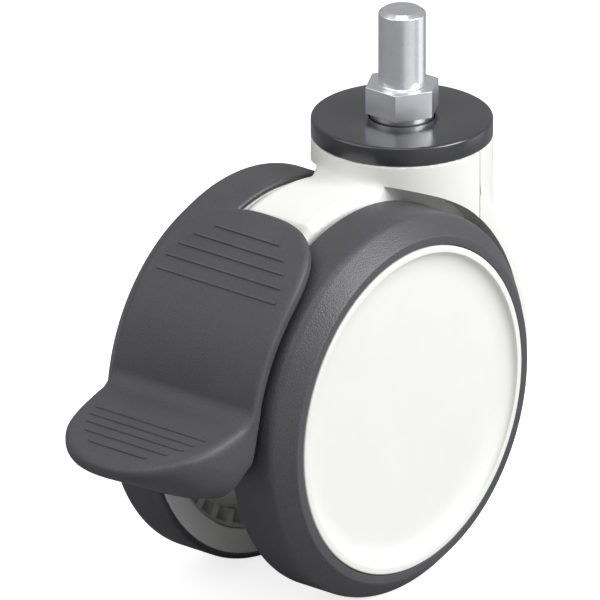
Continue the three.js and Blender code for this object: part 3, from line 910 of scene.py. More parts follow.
@dataclass(frozen=True)
class MouldedFinish:
    """A moulded plastic or rubber with a grain, faint mottling and a painted highlight on its
    edges.
    """

    name: str
    deep: Colour
    light: Colour
    # Lighter colour painted on outer edges as a highlight.
    rubbed: Colour
    roughness: Point2
    grain_size: float
    grain_height: float
    grain_tone: float
    specular: float = 0.5
    coat: float = 0.0
    coat_roughness: float = 0.1
    mottle_size: float = 18 * MM
    # Patch size and strength of the painted edge highlight.
    wear_size: float = 3 * MM
    wear: float = 0.35

    def material(self, groups: ShaderGroups) -> bpy.types.Material:
        """Builds the material.

        Args:
            groups: The shared shader groups.

        Returns:
            The new material.
        """
        material, shader = started(self.name)
        tree = material.node_tree
        grain = grouped(tree, groups.grain, Size=self.grain_size)
        mottle = grouped(tree, groups.mottle, Size=self.mottle_size).outputs["Mask"]
        # Painted highlight: outer edges get the lighter edge colour.
        wear = grouped(tree, groups.wear, Size=self.wear_size, Amount=self.wear)
        tone = calculated(
            tree, "ADD", calculated(tree, "MULTIPLY", grain.outputs["Tone"], self.grain_tone),
            calculated(tree, "MULTIPLY", mottle, 1 - self.grain_tone))
        colour = mixed(tree, tone, self.deep, self.light)
        fed(tree, shader.inputs["Base Color"],
            mixed(tree, wear.outputs["Mask"], colour, self.rubbed))
        fed(tree, shader.inputs["Roughness"], remapped(tree, mottle, (0, 1), self.roughness))
        bumped(tree, shader, grain.outputs["Height"], self.grain_height)
        shader.inputs["Specular IOR Level"].default_value = self.specular
        shader.inputs["Coat Weight"].default_value = self.coat
        shader.inputs["Coat Roughness"].default_value = self.coat_roughness
        return material


@dataclass(frozen=True)
class TurnedFinish:
    """A turned and plated or ground metal, with a duller plating below a height."""

    name: str
    deep: Colour
    light: Colour
    roughness: Point2
    mark_size: float
    mark_height: float
    axis: Axis
    centre: Point2 = (0.0, 0.0)
    satin_below: float = -1.0
    satin: float = 0.34
    mottle_size: float = 6 * MM

    def material(self, groups: ShaderGroups) -> bpy.types.Material:
        """Builds the material.

        Args:
            groups: The shared shader groups.

        Returns:
            The new material.
        """
        material, shader = started(self.name)
        tree = material.node_tree
        marks = grouped(tree, groups.turning, Size=self.mark_size,
                        Cross=1.0 if self.axis is Axis.Y else 0.0,
                        Centre_X=self.centre[0], Centre_Z=self.centre[1])
        mottle = grouped(tree, groups.mottle, Size=self.mottle_size)
        fed(tree, shader.inputs["Base Color"],
            mixed(tree, mottle.outputs["Mask"], self.deep, self.light))
        place = node(tree, "SeparateXYZ")
        fed(tree, place.inputs[0], node(tree, "TexCoord").outputs["Object"])
        is_satin = calculated(tree, "LESS_THAN", place.outputs["Z"], self.satin_below)
        polished = remapped(tree, marks.outputs["Mask"], (0, 1), self.roughness)
        fed(tree, shader.inputs["Roughness"], calculated(
            tree, "MULTIPLY_ADD", is_satin, self.satin - self.roughness[1], polished))
        bumped(tree, shader, marks.outputs["Height"], self.mark_height)
        shader.inputs["Metallic"].default_value = 1.0
        return material


class Finishes:
    """Every material of the caster, by what it is used for."""

    plated_stem: bpy.types.Material
    plated_cross: bpy.types.Material
    ground_upright: bpy.types.Material
    ground_cross: bpy.types.Material
    white_housing: bpy.types.Material
    white_cap: bpy.types.Material
    dust_cover: bpy.types.Material
    tread: bpy.types.Material
    pedal: bpy.types.Material
    core: bpy.types.Material
    brake_ring: bpy.types.Material
    acetal: bpy.types.Material

    def __init__(self, layout: Layout) -> None:
        """Builds the materials.

        Args:
            layout: The shared places.
        """
        axle = (layout.axle.x, layout.axle.z)
        steel = ((0.52, 0.53, 0.55), (0.60, 0.61, 0.63), (0.1, 0.2), 0.3 * MM, 0.001 * MM)
        # The third colour of each moulded finish is painted on its outer edges as a highlight.
        finishes = {
            "plated_stem": TurnedFinish(
                "zinc_plated_pin", (0.8, 0.805, 0.85), (0.86, 0.865, 0.91), (0.27, 0.31),
                0.5 * MM, 0.0003 * MM, Axis.Z, satin_below=0.02 * MM),
            "plated_cross": TurnedFinish(
                "zinc_plated_axle", (0.56, 0.57, 0.59), (0.64, 0.65, 0.67), (0.2, 0.34),
                0.5 * MM, 0.003 * MM, Axis.Y, axle),
            "ground_upright": TurnedFinish("ground_bearing_steel", *steel, Axis.Z),
            "ground_cross": TurnedFinish("ground_wheel_bearing_steel", *steel, Axis.Y, axle),
            "white_housing": MouldedFinish(
                "white_housing_nylon", (0.83, 0.832, 0.8), (0.865, 0.867, 0.835),
                (0.9, 0.9, 0.88), (0.36, 0.44), 0.35 * MM, 0.004 * MM, 0.3),
            "white_cap": MouldedFinish(
                "white_cap_plastic", (0.835, 0.84, 0.805), (0.865, 0.87, 0.835),
                (0.9, 0.9, 0.88), (0.3, 0.38), 0.3 * MM, 0.002 * MM, 0.25, coat=0.15,
                coat_roughness=0.2),
            "dust_cover": MouldedFinish(
                "anthracite_cover_plastic", (0.022, 0.0225, 0.028), (0.03, 0.0305, 0.036),
                (0.06, 0.06, 0.065), (0.2, 0.26), 0.25 * MM, 0.0012 * MM, 0.3, specular=0.85),
            "tread": MouldedFinish(
                "anthracite_tread_rubber", (0.048, 0.048, 0.055), (0.074, 0.074, 0.081),
                (0.1, 0.1, 0.1), (0.42, 0.5), 0.4 * MM, 0.06 * MM, 0.6, specular=0.75),
            "pedal": MouldedFinish(
                "anthracite_pedal_nylon", (0.062, 0.062, 0.068), (0.092, 0.092, 0.098),
                (0.11, 0.11, 0.11), (0.46, 0.54), 0.36 * MM, 0.035 * MM, 0.55, specular=0.4),
            "core": MouldedFinish(
                "pale_core_nylon", (0.82, 0.82, 0.81), (0.87, 0.87, 0.86), (0.9, 0.9, 0.89),
                (0.42, 0.5), 0.4 * MM, 0.006 * MM, 0.4),
            "brake_ring": MouldedFinish(
                "grey_brake_ring_nylon", (0.5, 0.5, 0.48), (0.56, 0.56, 0.54),
                (0.66, 0.66, 0.64), (0.42, 0.5), 0.4 * MM, 0.006 * MM, 0.4),
            "acetal": MouldedFinish(
                "natural_acetal", (0.5, 0.49, 0.46), (0.56, 0.55, 0.52), (0.66, 0.65, 0.62),
                (0.34, 0.42), 0.4 * MM, 0.004 * MM, 0.4),
        }
        groups = ShaderGroups()
        for use, finish in finishes.items():
            setattr(self, use, finish.material(groups))


# ---------------------------------------------------------------- fitting pieces to the frame


@dataclass
class Fitter:
    """Puts finished pieces in the frame on their body, in place of the CAD nodes."""

    frame: dict

    def __post_init__(self) -> None:
        """Reads the slot of each node from the record."""
        self.slots = {s["node"]: s["material_slot"] for s in self.frame["record"]["subparts"]}

    def fit(self, piece: bpy.types.Object, cad_node: str, material: bpy.types.Material) -> None:
        """Lets a piece stand for a CAD node, on the node's body.

        Args:
            piece: The finished piece.
            cad_node: The CAD node that it stands for.
            material: Its finish.
        """
        piece.data.materials.clear()
        piece.data.materials.append(material)
        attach(piece, self.frame["nodes"][cad_node]["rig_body"])
        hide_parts(cad_node)
        log.info("%s stands for %s, %d faces", piece.name, cad_node, len(piece.data.polygons))

    def dress(self, cad_node: str, material: bpy.types.Material) -> None:
        """Gives a CAD node that keeps its shape its finish.

        Args:
            cad_node: The CAD node.
            material: Its finish.
        """
        shown = self.frame["nodes"][cad_node]
        shown.data.materials.clear()
        shown.data.materials.append(material)
        log.info("%s keeps its shape", cad_node)


# ---------------------------------------------------------------- stem


@dataclass
class StemAssembly:
    """The mounting pin with its hexagon, and the parts that turn or rest on the shaft."""

    fitter: Fitter
    finishes: Finishes
    pin_radius: float = 6.0 * MM
    pin_chamfer: Point2 = (1.35 * MM, 1.0 * MM)
    pin_edge: float = 0.35 * MM
    fillet: float = 0.75 * MM
    across_flats: float = 17.0 * MM
    hexagon_height: float = 7.1 * MM
    hexagon_turn: float = 30.0
    hexagon_edge: float = 0.1 * MM
    hexagon_bevel: float = 0.08 * MM
    collar_radius: float = 8.0 * MM
    collar_bottom: float = -9.9 * MM
    shaft_radius: float = 7.0 * MM
    shaft_step: float = -21.0 * MM
    tail_radius: float = 5.0 * MM
    neck: float = -48.1 * MM
    neck_radius: float = 2.8 * MM
    edges: Corner = (0.2 * MM, 0.3 * MM, 0.4 * MM)
    seat: float = 0.001 * MM

    def _shaft(self) -> bpy.types.Object:
        """The turned pin, collar and shaft.

        Returns:
            The turned piece.
        """
        low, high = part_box("threaded_stem")
        across, down = self.pin_chamfer
        fine, plain, wide = self.edges
        foot, middle = self.pin_radius + self.fillet, -self.hexagon_height / 2
        return turned("mounting_pin", rounded([
            (0, low.z, 0), (self.neck_radius, low.z, plain), (self.neck_radius, self.neck, 0),
            (self.tail_radius, self.neck, wide), (self.tail_radius, self.shaft_step, fine),
            (self.shaft_radius, self.shaft_step, plain),
            (self.shaft_radius, self.collar_bottom, fine),
            (self.collar_radius, self.collar_bottom, plain), (self.collar_radius, middle, 0),
            (foot, middle, 0), (foot, self.seat, 0),
            (self.pin_radius, self.seat, self.fillet * 0.98),
            (self.pin_radius, high.z - down, self.pin_edge),
            (self.pin_radius - across, high.z, self.pin_edge), (0, high.z, 0),
        ], steps=6), Axis.Z, SWIVEL, 128)

    def _hexagon(self) -> bpy.types.Object:
        """The hexagon, with small bevels on its edges.

        Returns:
            The hexagon as a closed mesh.
        """
        corner = self.across_flats / 2 / math.cos(math.radians(30))
        points = arc((0, 0), corner, self.hexagon_turn, self.hexagon_turn + 300, 5)
        outline = rounded([(*point, self.hexagon_edge) for point in points], steps=3)
        bottom, bevel = -self.hexagon_height, self.hexagon_bevel
        levels = [(bottom, bevel), (bottom + bevel, 0), (-bevel, 0), (0, bevel)]
        return extruded("tool", outline, Axis.Z, levels)

    def build(self) -> None:
        """Builds the stem and dresses the parts on it."""
        stem = boolean(self._shaft(), self._hexagon(), Join.ADD)
        self.fitter.fit(smoothed(stem, 25), "threaded_stem", self.finishes.plated_stem)
        for word in ("swivel_lock_crown", "stem_retaining_ring"):
            self.fitter.dress(word, self.finishes.plated_stem)
        for place in ("upper", "lower"):
            for part in ("inner_race", "outer_race", "ball_cage"):
                self.fitter.dress(f"{place}_bearing_{part}", self.finishes.ground_upright)


# ---------------------------------------------------------------- housing


@dataclass
class HousingAssembly:
    """The white housing with its tower, the fender behind the wheels, and the dust cover."""

    fitter: Fitter
    finishes: Finishes
    layout: Layout
    tower_radius: float = 23.0 * MM
    tower_top: float = -13.75 * MM
    tower_bottom: float = -45.0 * MM
    tower_edge: float = 0.3 * MM
    tower_fillet: float = 3.6 * MM
    core_radius: float = 17.0 * MM
    core_bottom: float = -36.0 * MM
    core_front: float = 8.0 * MM
    core_gap: Point2 = (0.1 * MM, 0.05 * MM)
    seam: float = -3.2 * MM
    seam_gap: float = 0.3 * MM
    seam_end: float = -25.6 * MM
    arch_clearance: float = 52.9 * MM
    web_radii: Corner = (49.6 * MM, 50.9 * MM, 52.4 * MM)
    web_rear: tuple[Point2, ...] = mm((-50.5, -3.5), (-46, -8))
    web_underside: float = 20.0 * MM
    web_front: tuple[Point2, ...] = mm((38, -15), (45.5, -12.5))
    web_edge: float = 2.6 * MM
    fender_radius: float = 56.0 * MM
    fender_half_width: float = 23.0 * MM
    fender_edges: Point2 = (0.35 * MM, 1.6 * MM)
    fender_edge_from: Point2 = (6.0 * MM, 11.0 * MM)
    fender_fillet: float = 5.0 * MM
    fender_fillet_from: float = 4.0 * MM
    fender_fillet_over: float = 36.0 * MM
    fender_fillet_least: float = 0.02
    fender_front: float = -2.0 * MM
    fender_front_edge: float = 0.05 * MM
    fender_bottom: float = -1.0 * MM
    bore: tuple[Point2, ...] = mm(
        (0, -10), (14.05, -10), (14.05, -20.3), (11.6, -20.3), (11.6, -21.5), (7.5, -21.5),
        (7.5, -22), (5.5, -22), (5.5, -41.4), (9.05, -41.4), (9.05, -48.3), (5.3, -48.3))
    bore_end: Point2 = (5.3 * MM, 20.7 * MM)
    pocket_half_width: float = 7.0 * MM
    pocket_across: Point2 = (17.5 * MM, 53.9 * MM)
    pocket_height: Point2 = (-24.0 * MM, 21.2 * MM)
    channel_back: float = -10.9 * MM
    channel_front: float = 18.5 * MM
    channel_bottom: float = 16.8 * MM
    slot_lean: float = 20.0
    slot_reaches: Point2 = (32.6 * MM, 38.4 * MM)
    slot_radius: float = 2.05 * MM
    slot_half_length: float = 12.0 * MM
    axle_hole: float = 4.06 * MM
    pivot_hole: float = 2.56 * MM
    hole_half_length: float = 20.0 * MM
    cover_bore: float = 8.45 * MM
    cover_edges: tuple[float, ...] = (0.2 * MM, 0.3 * MM, 0.75 * MM, 0.25 * MM)
    skin: float = 0.005 * MM
    step: float = 0.52 * MM

    def _web_outline(self) -> list[Point2]:
        """The web between the wheels, seen from the side.

        Returns:
            Its (x, z) corners.
        """
        front, middle, rear = self.web_radii
        return self.layout.placed([
            *arc((0, 0), front, -10, 70.5, 40), *arc((0, 0), middle, 73, 117, 22),
            *arc((0, 0), rear, 119, 180, 30), *self.web_rear,
            *arc((0, 0), self.web_underside, 228, 290, 12), *self.web_front,
        ])

    def _wheel_wells(self, piece: bpy.types.Object) -> bpy.types.Object:
        """Cuts the room for both wheels out of the tower.

        Args:
            piece: The housing.

        Returns:
            The changed housing.
        """
        inner = self.layout.housing_half_width + self.skin
        for low, high in ((inner, WIDE), (-WIDE, -inner)):
            well = rod_tool(Axis.Y, self.layout.axle, self.arch_clearance, low, high, 240)
            boolean(piece, well, Join.CUT)
        return piece

    def _front(self) -> bpy.types.Object:
        """The front half of the tower, flowing into the front of the web.

        Returns:
            The front half, with the wheel wells cut.
        """
        half = self.layout.housing_half_width
        low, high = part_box("housing")
        low.x = -self.tower_radius
        web = outlined(self._web_outline()).within(layer(1, -half, half), self.web_edge)
        tower = cylinder(Axis.Z, SWIVEL, self.tower_radius).within(
            layer(2, self.tower_bottom, self.tower_top), self.tower_edge)
        body = web.joined(tower, self.tower_fillet)
        piece = NetMaker(low, high, self.step).made("housing_shell", body)
        behind = box_tool((BEHIND, -WIDE, DEEP), (self.seam, WIDE, 0))
        return self._wheel_wells(boolean(piece, behind, Join.CUT))

    def _core(self) -> bpy.types.Object:
        """The round core behind the seam and the rear of the web, both inside the fender.

        Returns:
            Both as one closed mesh.
        """
        beside, above = self.core_gap
        half, top = self.layout.housing_half_width - beside, self.tower_top - above
        core = rod_tool(Axis.Z, SWIVEL, self.core_radius, self.core_bottom, top)
        web = bar_tool(self._web_outline(), -half, half)
        ahead = box_tool((self.core_front, -WIDE, DEEP), (AHEAD, WIDE, 0))
        return boolean(core, boolean(web, ahead, Join.CUT), Join.ADD)

    def _bored(self, piece: bpy.types.Object) -> bpy.types.Object:
        """Cuts the bearing seats, the lock pocket, the bar's slots and the cross holes.

        Args:
            piece: The housing.

        Returns:
            The changed housing.
        """
        x, z = self.layout.axle.x, self.layout.axle.z
        half, (back, front), (bottom, top) = (
            self.pocket_half_width, self.pocket_across, self.pocket_height)
        radius, end = self.bore_end
        bore = turned(
            "tool", [*self.bore, (radius, z + end), (0, z + end)], Axis.Z, SWIVEL, 96)
        channel = box_tool((self.channel_back, -half, z + self.channel_bottom),
                           (x + self.channel_front, half, z + top))
        pocket = box_tool((x + back, -half, z + bottom), (x + front, half, z + top))
        lean = math.radians(self.slot_lean)
        near, far = (self.layout.point(reach * math.cos(lean), reach * math.sin(lean))
                     for reach in self.slot_reaches)
        turn = self.slot_lean - 90
        slot = bar_tool([*arc(far, self.slot_radius, turn, turn + 180, 16),
                         *arc(near, self.slot_radius, turn + 180, turn + 360, 16)],
                        -self.slot_half_length, self.slot_half_length)
        low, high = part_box("pedal_pivot_pin")
        holes = [
            rod_tool(Axis.Y, place, size, -self.hole_half_length, self.hole_half_length, 48)
            for place, size in ((self.layout.axle, self.axle_hole),
                                ((low + high) / 2, self.pivot_hole))]
        for tool in (bore, channel, pocket, slot, *holes):
            boolean(piece, tool, Join.CUT)
        return piece

    def _fender(self) -> bpy.types.Object:
        """The fender with the rear half of the tower's skin.

        Returns:
            The fender.
        """
        axle, half = self.layout.axle, self.fender_half_width
        fades_from, fades_over = axle.z + self.fender_fillet_from, self.fender_fillet_over
        low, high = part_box("rear_fender")
        tower = cylinder(Axis.Z, SWIVEL, self.tower_radius)
        body = cylinder(Axis.Y, axle, self.fender_radius).joined(
            tower, lambda points: self.fender_fillet * np.clip(
                (points[:, 2] - fades_from) / fades_over, self.fender_fillet_least, 1))
        body = body.within(layer(1, -half, half), lambda points: np.interp(
            -points[:, 0], self.fender_edge_from, self.fender_edges))
        body = body.within(layer(2, axle.z + self.fender_bottom, self.tower_top), self.tower_edge)
        body = body.within(layer(0, -0.1, self.fender_front), self.fender_front_edge)
        piece = NetMaker(low, high, self.step).made("fender_shell", body)
        for tool in (
            box_tool((self.seam - self.skin, -WIDE, DEEP), (AHEAD, WIDE, 0)),
            box_tool((self.seam - self.seam_gap, -WIDE, self.seam_end), (AHEAD, WIDE, 0)),
            rod_tool(Axis.Y, axle, self.arch_clearance, -WIDE, WIDE, 240),
            rod_tool(Axis.Z, SWIVEL, self.core_radius + self.seam_gap,
                     self.core_bottom - self.seam_gap, 0),
        ):
            boolean(piece, tool, Join.CUT)
        return piece

    def _dust_cover(self) -> bpy.types.Object:
        """The dark disc on top of the tower.

        Returns:
            The disc.
        """
        low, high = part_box("dust_cover")
        outer = (high.x - low.x) / 2
        places = ((self.cover_bore, low.z), (outer, low.z), (outer, high.z),
                  (self.cover_bore, high.z))
        corners = [(*place, edge) for place, edge in zip(places, self.cover_edges)]
        return turned("dust_cover_disc", rounded(corners, steps=7), Axis.Z, SWIVEL, 192)

    def build(self) -> None:
        """Builds the housing, the fender and the dust cover."""
        housing = self._bored(boolean(self._front(), self._core(), Join.ADD))
        self.fitter.fit(smoothed(housing, 50), "housing", self.finishes.white_housing)
        self.fitter.fit(smoothed(self._fender(), 50), "rear_fender", self.finishes.white_housing)
        self.fitter.fit(smoothed(self._dust_cover()), "dust_cover", self.finishes.dust_cover)


# ---------------------------------------------------------------- wheels


@dataclass
class WheelAssembly:
    """One wheel: tread, core, brake ring, cap and bearing, with what holds it on the axle.

    Each outline has (radius, along the axle, rounding) corners.
    """

    fitter: Fitter
    finishes: Finishes
    layout: Layout
    side: Side
    running_face: tuple[Point2, ...] = mm((13.35, 0.8), (26.3, 3.0))
    tread_inner: tuple[Corner, ...] = mm(
        (45.1, 31.2, 0.7), (42.85, 31.2, 0.2), (42.85, 26.4, 0), (43.55, 26.4, 0),
        (43.55, 18.6, 0), (48.55, 15.6, 0), (48.55, 13.35, 0.25))
    core_outline: tuple[Corner, ...] = mm(
        (11.05, 15.6, 0.3), (26, 15.6, 0.6), (26, 20.4, 0.8), (42.2, 20.4, 0),
        (42.2, 13.2, 0.35), (48.4, 13.2, 0.3), (48.4, 15.5, 0), (43.4, 18.5, 0),
        (43.4, 26.2, 0.2), (41.4, 26.2, 0.2), (41.4, 23.4, 0.5), (11.05, 23.4, 0.3))
    cap_rim: tuple[Corner, ...] = mm(
        (0, 26.6, 0), (42.6, 26.6, 0.6), (42.6, 31.5, 0.42), (40.85, 31.5, 0.12))
    cap_floor: float = 28.7 * MM
    cap_curve: Point2 = (6.5 * MM, 2.55 * MM)
    teeth: int = 36
    ring_radii: Corner = (42.0 * MM, 41.0 * MM, 37.7 * MM)
    ring_faces: Point2 = (14.6 * MM, 20.2 * MM)
    ring_bevel: float = 0.25 * MM
    tooth_widths: Point2 = (2.1 * MM, 2.7 * MM)

    def _turned(self, part: str, corners: Sequence[Corner], steps: int = 6) -> bpy.types.Object:
        """Turns an outline about the axle, on this side."""
        outline = [(r, self.side.value * y) for r, y in rounded(corners, steps)]
        return turned(f"{self.side.word}_{part}", outline, Axis.Y, self.layout.axle, 192)

    def _tread(self) -> bpy.types.Object:
        """The tread, with a flat running face and a slanted shoulder."""
        running = [(self.layout.wheel_radius, *rest) for rest in self.running_face]
        return self._turned("tread", [*running, *self.tread_inner])

    def _cap(self) -> bpy.types.Object:
        """The dished cap, with a raised rim and a wide soft curve down to its floor.

        Returns:
            The cap.
        """
        rim, floor = self.cap_rim[-1][0], self.cap_floor
        width, depth = self.cap_curve
        curve = [(rim - width * (1 - math.cos(t)), floor + depth * (1 - math.sin(t)), 0.0)
                 for t in np.linspace(0, math.pi / 2, 17)]
        return self._turned("cap", [*self.cap_rim, *curve, (0, floor, 0)], steps=8)

    def _brake_ring(self) -> bpy.types.Object:
        """The ring of internal teeth, with a small bevel on both faces.

        Returns:
            The ring.
        """
        outer, root, tip = self.ring_radii
        low, high = self.ring_faces
        tip_half, root_half = (math.degrees(width / 2 / radius)
                               for width, radius in zip(self.tooth_widths, (tip, root)))
        shape = ((root, -root_half), (tip, -tip_half), (tip, tip_half), (root, root_half))
        inner = [(radius, (tooth + 0.5) * 360 / self.teeth + angle)
                 for tooth in range(self.teeth) for radius, angle in shape]
        loops = [(low, self.ring_bevel), (low + self.ring_bevel, 0), (high - self.ring_bevel, 0),
                 (high, self.ring_bevel), (high, None), (low, None)]
        corners = []
        for along, widened in loops:
            for radius, angle in inner:
                reach = outer if widened is None else radius + widened
                turn = math.radians(angle)
                corners.append(self.layout.place(
                    reach * math.cos(turn), self.side.value * along, reach * math.sin(turn)))
        faces = bands(len(inner), len(loops), closed=True)
        return outward(mesh_piece(f"{self.side.word}_brake_ring", corners, faces))

    def build(self) -> None:
        """Builds the wheel and dresses its bearing and fixings."""
        word, finishes, core = self.side.word, self.finishes, self.core_outline
        for node_name, piece, finish in (
            ("tread", smoothed(self._tread()), finishes.tread),
            ("wheel_core", smoothed(self._turned("core", core, steps=4)), finishes.core),
            ("brake_ring", smoothed(self._brake_ring(), 20), finishes.brake_ring),
            ("wheel_cap", smoothed(self._cap()), finishes.white_cap),
        ):
            self.fitter.fit(piece, f"{node_name}_{word}", finish)
        for part in ("outer_race", "inner_race", "ball_cage"):
            self.fitter.dress(f"wheel_bearing_{part}_{word}", finishes.ground_cross)
        for part in ("axle_spacer", "axle_retaining_ring"):
            self.fitter.dress(f"{part}_{word}", finishes.plated_cross)


# ---------------------------------------------------------------- pedal


@dataclass
class PedalAssembly:
    """The foot pedal with its grip ribs, and the lock mechanism that it works."""

    fitter: Fitter
    finishes: Finishes
    layout: Layout
    outer: float = 54.6 * MM
    inner: float = 50.9 * MM
    half_width: float = 23.4 * MM
    plate_across: Point2 = (8.0 * MM, 90.0 * MM)
    plate_height: Point2 = (-2.0 * MM, 80.0 * MM)
    plate_edge: float = 0.2 * MM
    top_centre: float = 42.0
    top_reach: float = 27.6
    top_power: float = 2.5
    toe_start: float = 57.0 * MM
    toe_reach: float = 28.0 * MM
    toe_power: float = 2.25
    toe_height: float = 10.2 * MM
    toe_slope: float = 0.2217
    toe_edges: Point2 = (0.7 * MM, 0.5 * MM)
    rim: float = 3.3 * MM
    edges: Point2 = (1.3 * MM, 5.5 * MM)
    edge_height: Point2 = (-3.0 * MM, 15.0 * MM)
    edge_across: Point2 = (62.0 * MM, 74.0 * MM)
    corner_fillet: float = 3.2 * MM
    heel: Point2 = (60.0 * MM, -11.7 * MM)
    heel_run: Point2 = (8.4 * MM, 7.0 * MM)
    heel_blend: float = 8.0 * MM
    heel_corner: Point2 = (12.0 * MM, 11.4 * MM)
    heel_from: float = 4.0 * MM
    back: tuple[Point2, ...] = mm(
        (50.9, 30), (50.9, 0), (52.2, -6.8), (54.2, -9.4), (57.6, -12), (60, -11.7), (61, -14),
        (95, -14), (95, 30))
    pivot_boss: float = 5.2 * MM
    pivot_hole: float = 2.75 * MM
    hole_half_length: float = 20.0 * MM
    well_edge: float = 0.5 * MM
    pocket_rib: tuple[Point2, ...] = mm(
        (46, -10.2), (53.4, -8.6), (53.4, 5), (52.2, 12), (49.6, 12), (45, 5.5))
    pocket_rib_sides: Point2 = (2.8 * MM, 6.5 * MM)
    pocket_across: Point2 = (26.0 * MM, 50.4 * MM)
    pocket_half_height: float = 14.0 * MM
    rib_height: float = 0.36 * MM
    rib_width: float = 0.9 * MM
    rib_crest: float = 0.1 * MM
    rib_steps: int = 6
    rib_sunk: Point2 = (1.0 * MM, 0.01 * MM)
    toe_ribs: tuple[float, ...] = mm((8.2, 11.3, 14.3, 17.6, 21.2))[0]
    toe_rib: Point2 = (18.6 * MM, 23.1 * MM)
    plate_ribs: tuple[float, ...] = mm((4.4, 8.4, 12.1, 16.0, 20.1))[0]
    plate_rib_top: float = 64.6
    plate_rib: Point2 = (19.4 * MM, 21.4)
    step: float = 0.42 * MM

    def _rounded_end(self, along: np.ndarray, across: np.ndarray, reach: float,
                     power: float) -> np.ndarray:
        """Distance to a strip that closes in a rounded end.

        Args:
            along: Distance past the place where the end begins.
            across: Distance from the strip's middle line.
            reach: How far the end reaches.
            power: How square the end is.

        Returns:
            The signed distance, true at the sides and close to true round the end.
        """
        past = np.maximum(along, 0) / reach
        measure = (past ** power + (np.abs(across) / self.half_width) ** power) ** (1 / power)
        return (measure - 1) * self.half_width

    def _from_axle(self, points: np.ndarray) -> tuple[np.ndarray, np.ndarray, np.ndarray]:
        """Points as across, along Y and height, counted from the axle."""
        return points[:, 0] - self.layout.axle.x, points[:, 1], points[:, 2] - self.layout.axle.z

    def _plate(self) -> Body:
        """The curved upper plate in front of the wheels, as wide as may be.

        Returns:
            The plate.
        """
        axle = self.layout.axle
        middle, half = (self.outer + self.inner) / 2, (self.outer - self.inner) / 2
        ring = Body(lambda points: np.abs(np.hypot(
            points[:, 0] - axle.x, points[:, 2] - axle.z) - middle) - half)
        above = layer(2, *(axle.z + height for height in self.plate_height))
        ahead = layer(0, *(axle.x + across for across in self.plate_across))
        return ring.within(above, self.plate_edge).within(ahead, self.plate_edge)

    def _top(self, points: np.ndarray) -> np.ndarray:
        """Distance above the toe's sloping top face.

        Args:
            points: One row of x, y and z for each point.

        Returns:
            The signed distances.
        """
        x, _, z = self._from_axle(points)
        height = z - self.toe_height + self.toe_slope * (x - self.toe_start)
        return height / math.hypot(1, self.toe_slope)

    def _underside(self, points: np.ndarray) -> np.ndarray:
        """Distance below the surface that runs straight from the heel to the toe's rim.

        Args:
            points: One row of x, y and z for each point.

        Returns:
            The signed distances.
        """
        x, y, z = self._from_axle(points)
        heel_x, heel_z = self.heel
        away, least = self.heel_run
        share = np.clip(1 - (np.abs(y) / self.half_width) ** self.toe_power, 0, 1)
        tip = self.toe_start + self.toe_reach * share ** (1 / self.toe_power)
        past = tip - heel_x - away
        far = heel_x + least + (past + np.hypot(past, self.heel_blend)) / 2
        far_z = self.toe_height - self.toe_slope * (
            far + away - least - self.toe_start) - self.rim
        slope = (far_z - heel_z) / (far - heel_x)
        return (heel_z + slope * (x - heel_x) - z) / np.hypot(1, slope)

    def _outline(self, points: np.ndarray) -> np.ndarray:
        """Distance outside the pedal's outline, as seen from its front.

        Args:
            points: One row of x, y and z for each point.

        Returns:
            The signed distances.
        """
        x, y, z = self._from_axle(points)
        middle = (self.outer + self.inner) / 2
        corner_from, corner_width = self.heel_corner
        past_top = (np.arctan2(z, x) - math.radians(self.top_centre)) * middle
        top = self._rounded_end(past_top, y, math.radians(self.top_reach) * middle, self.top_power)
        toe = self._rounded_end(x - self.toe_start, y, self.toe_reach, self.toe_power)
        past_side = np.maximum(np.abs(y) - corner_from, 0) / corner_width
        below = np.maximum(self.heel_from - z, 0) / (self.heel_from - self.heel[1])
        heel = (np.hypot(past_side, below) - 1) * corner_width
        return np.maximum(np.maximum(top, toe), heel)

    def _edge(self, points: np.ndarray) -> np.ndarray:
        """How round the outline's edge is, which grows towards the heel.

        Args:
            points: One row of x, y and z for each point.

        Returns:
            The radius at each point.
        """
        x, _, z = self._from_axle(points)
        (low, high), (near, far) = self.edge_height, self.edge_across
        lower = np.clip((high - z) / (high - low), 0, 1)
        nearer = np.clip((far - x) / (far - near), 0, 1)
        plain, heel = self.edges
        return plain + (heel - plain) * lower ** 2 * (3 - 2 * lower) * nearer

    def _pocket_ribs(self) -> bpy.types.Object:
        """The two ribs that reach in between the wheels to the pivot pin, as one tool.

        Returns:
            Both ribs, with the hole for the pin.
        """
        low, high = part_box("pedal_pivot_pin")
        pivot, (near, far) = (low + high) / 2, self.pocket_rib_sides
        outline = [*arc((pivot.x, pivot.z), self.pivot_boss, 90, 270, 18),
                   *self.layout.placed(self.pocket_rib)]
        ribs = boolean(bar_tool(outline, near, far), bar_tool(outline, -far, -near), Join.ADD)
        reach = self.hole_half_length
        hole = rod_tool(Axis.Y, pivot, self.pivot_hole, -reach, reach, 48)
        return boolean(ribs, hole, Join.CUT)

    def _toe_point(self, along: float, across: float, height: float) -> Corner:
        """A place above the toe's top face, along from where the toe starts."""
        level = self.toe_height - self.toe_slope * along + height
        return self.layout.place(self.toe_start + along, across, level)

    def _plate_point(self, along: float, across: float, height: float) -> Corner:
        """A place above the plate's outer face, along down from its highest grip rib."""
        angle, reach = math.radians(self.plate_rib_top) - along / self.outer, self.outer + height
        return self.layout.place(reach * math.cos(angle), across, reach * math.sin(angle))

    def _toe_half(self, along: float) -> float:
        """Half the length of a grip rib on the toe."""
        half, end = self.toe_rib
        return half * (1 - min(along / end, 1) ** self.toe_power) ** (1 / self.toe_power)

    def _plate_half(self, along: float) -> float:
        """Half the length of a grip rib on the plate.

        Args:
            along: Distance down from the highest rib.

        Returns:
            Half the length.
        """
        half, end = self.plate_rib
        angle = self.plate_rib_top - math.degrees(along / self.outer) - self.top_centre
        return half * math.sqrt(max(1 - (max(0.0, angle) / end) ** 2, 0.02))

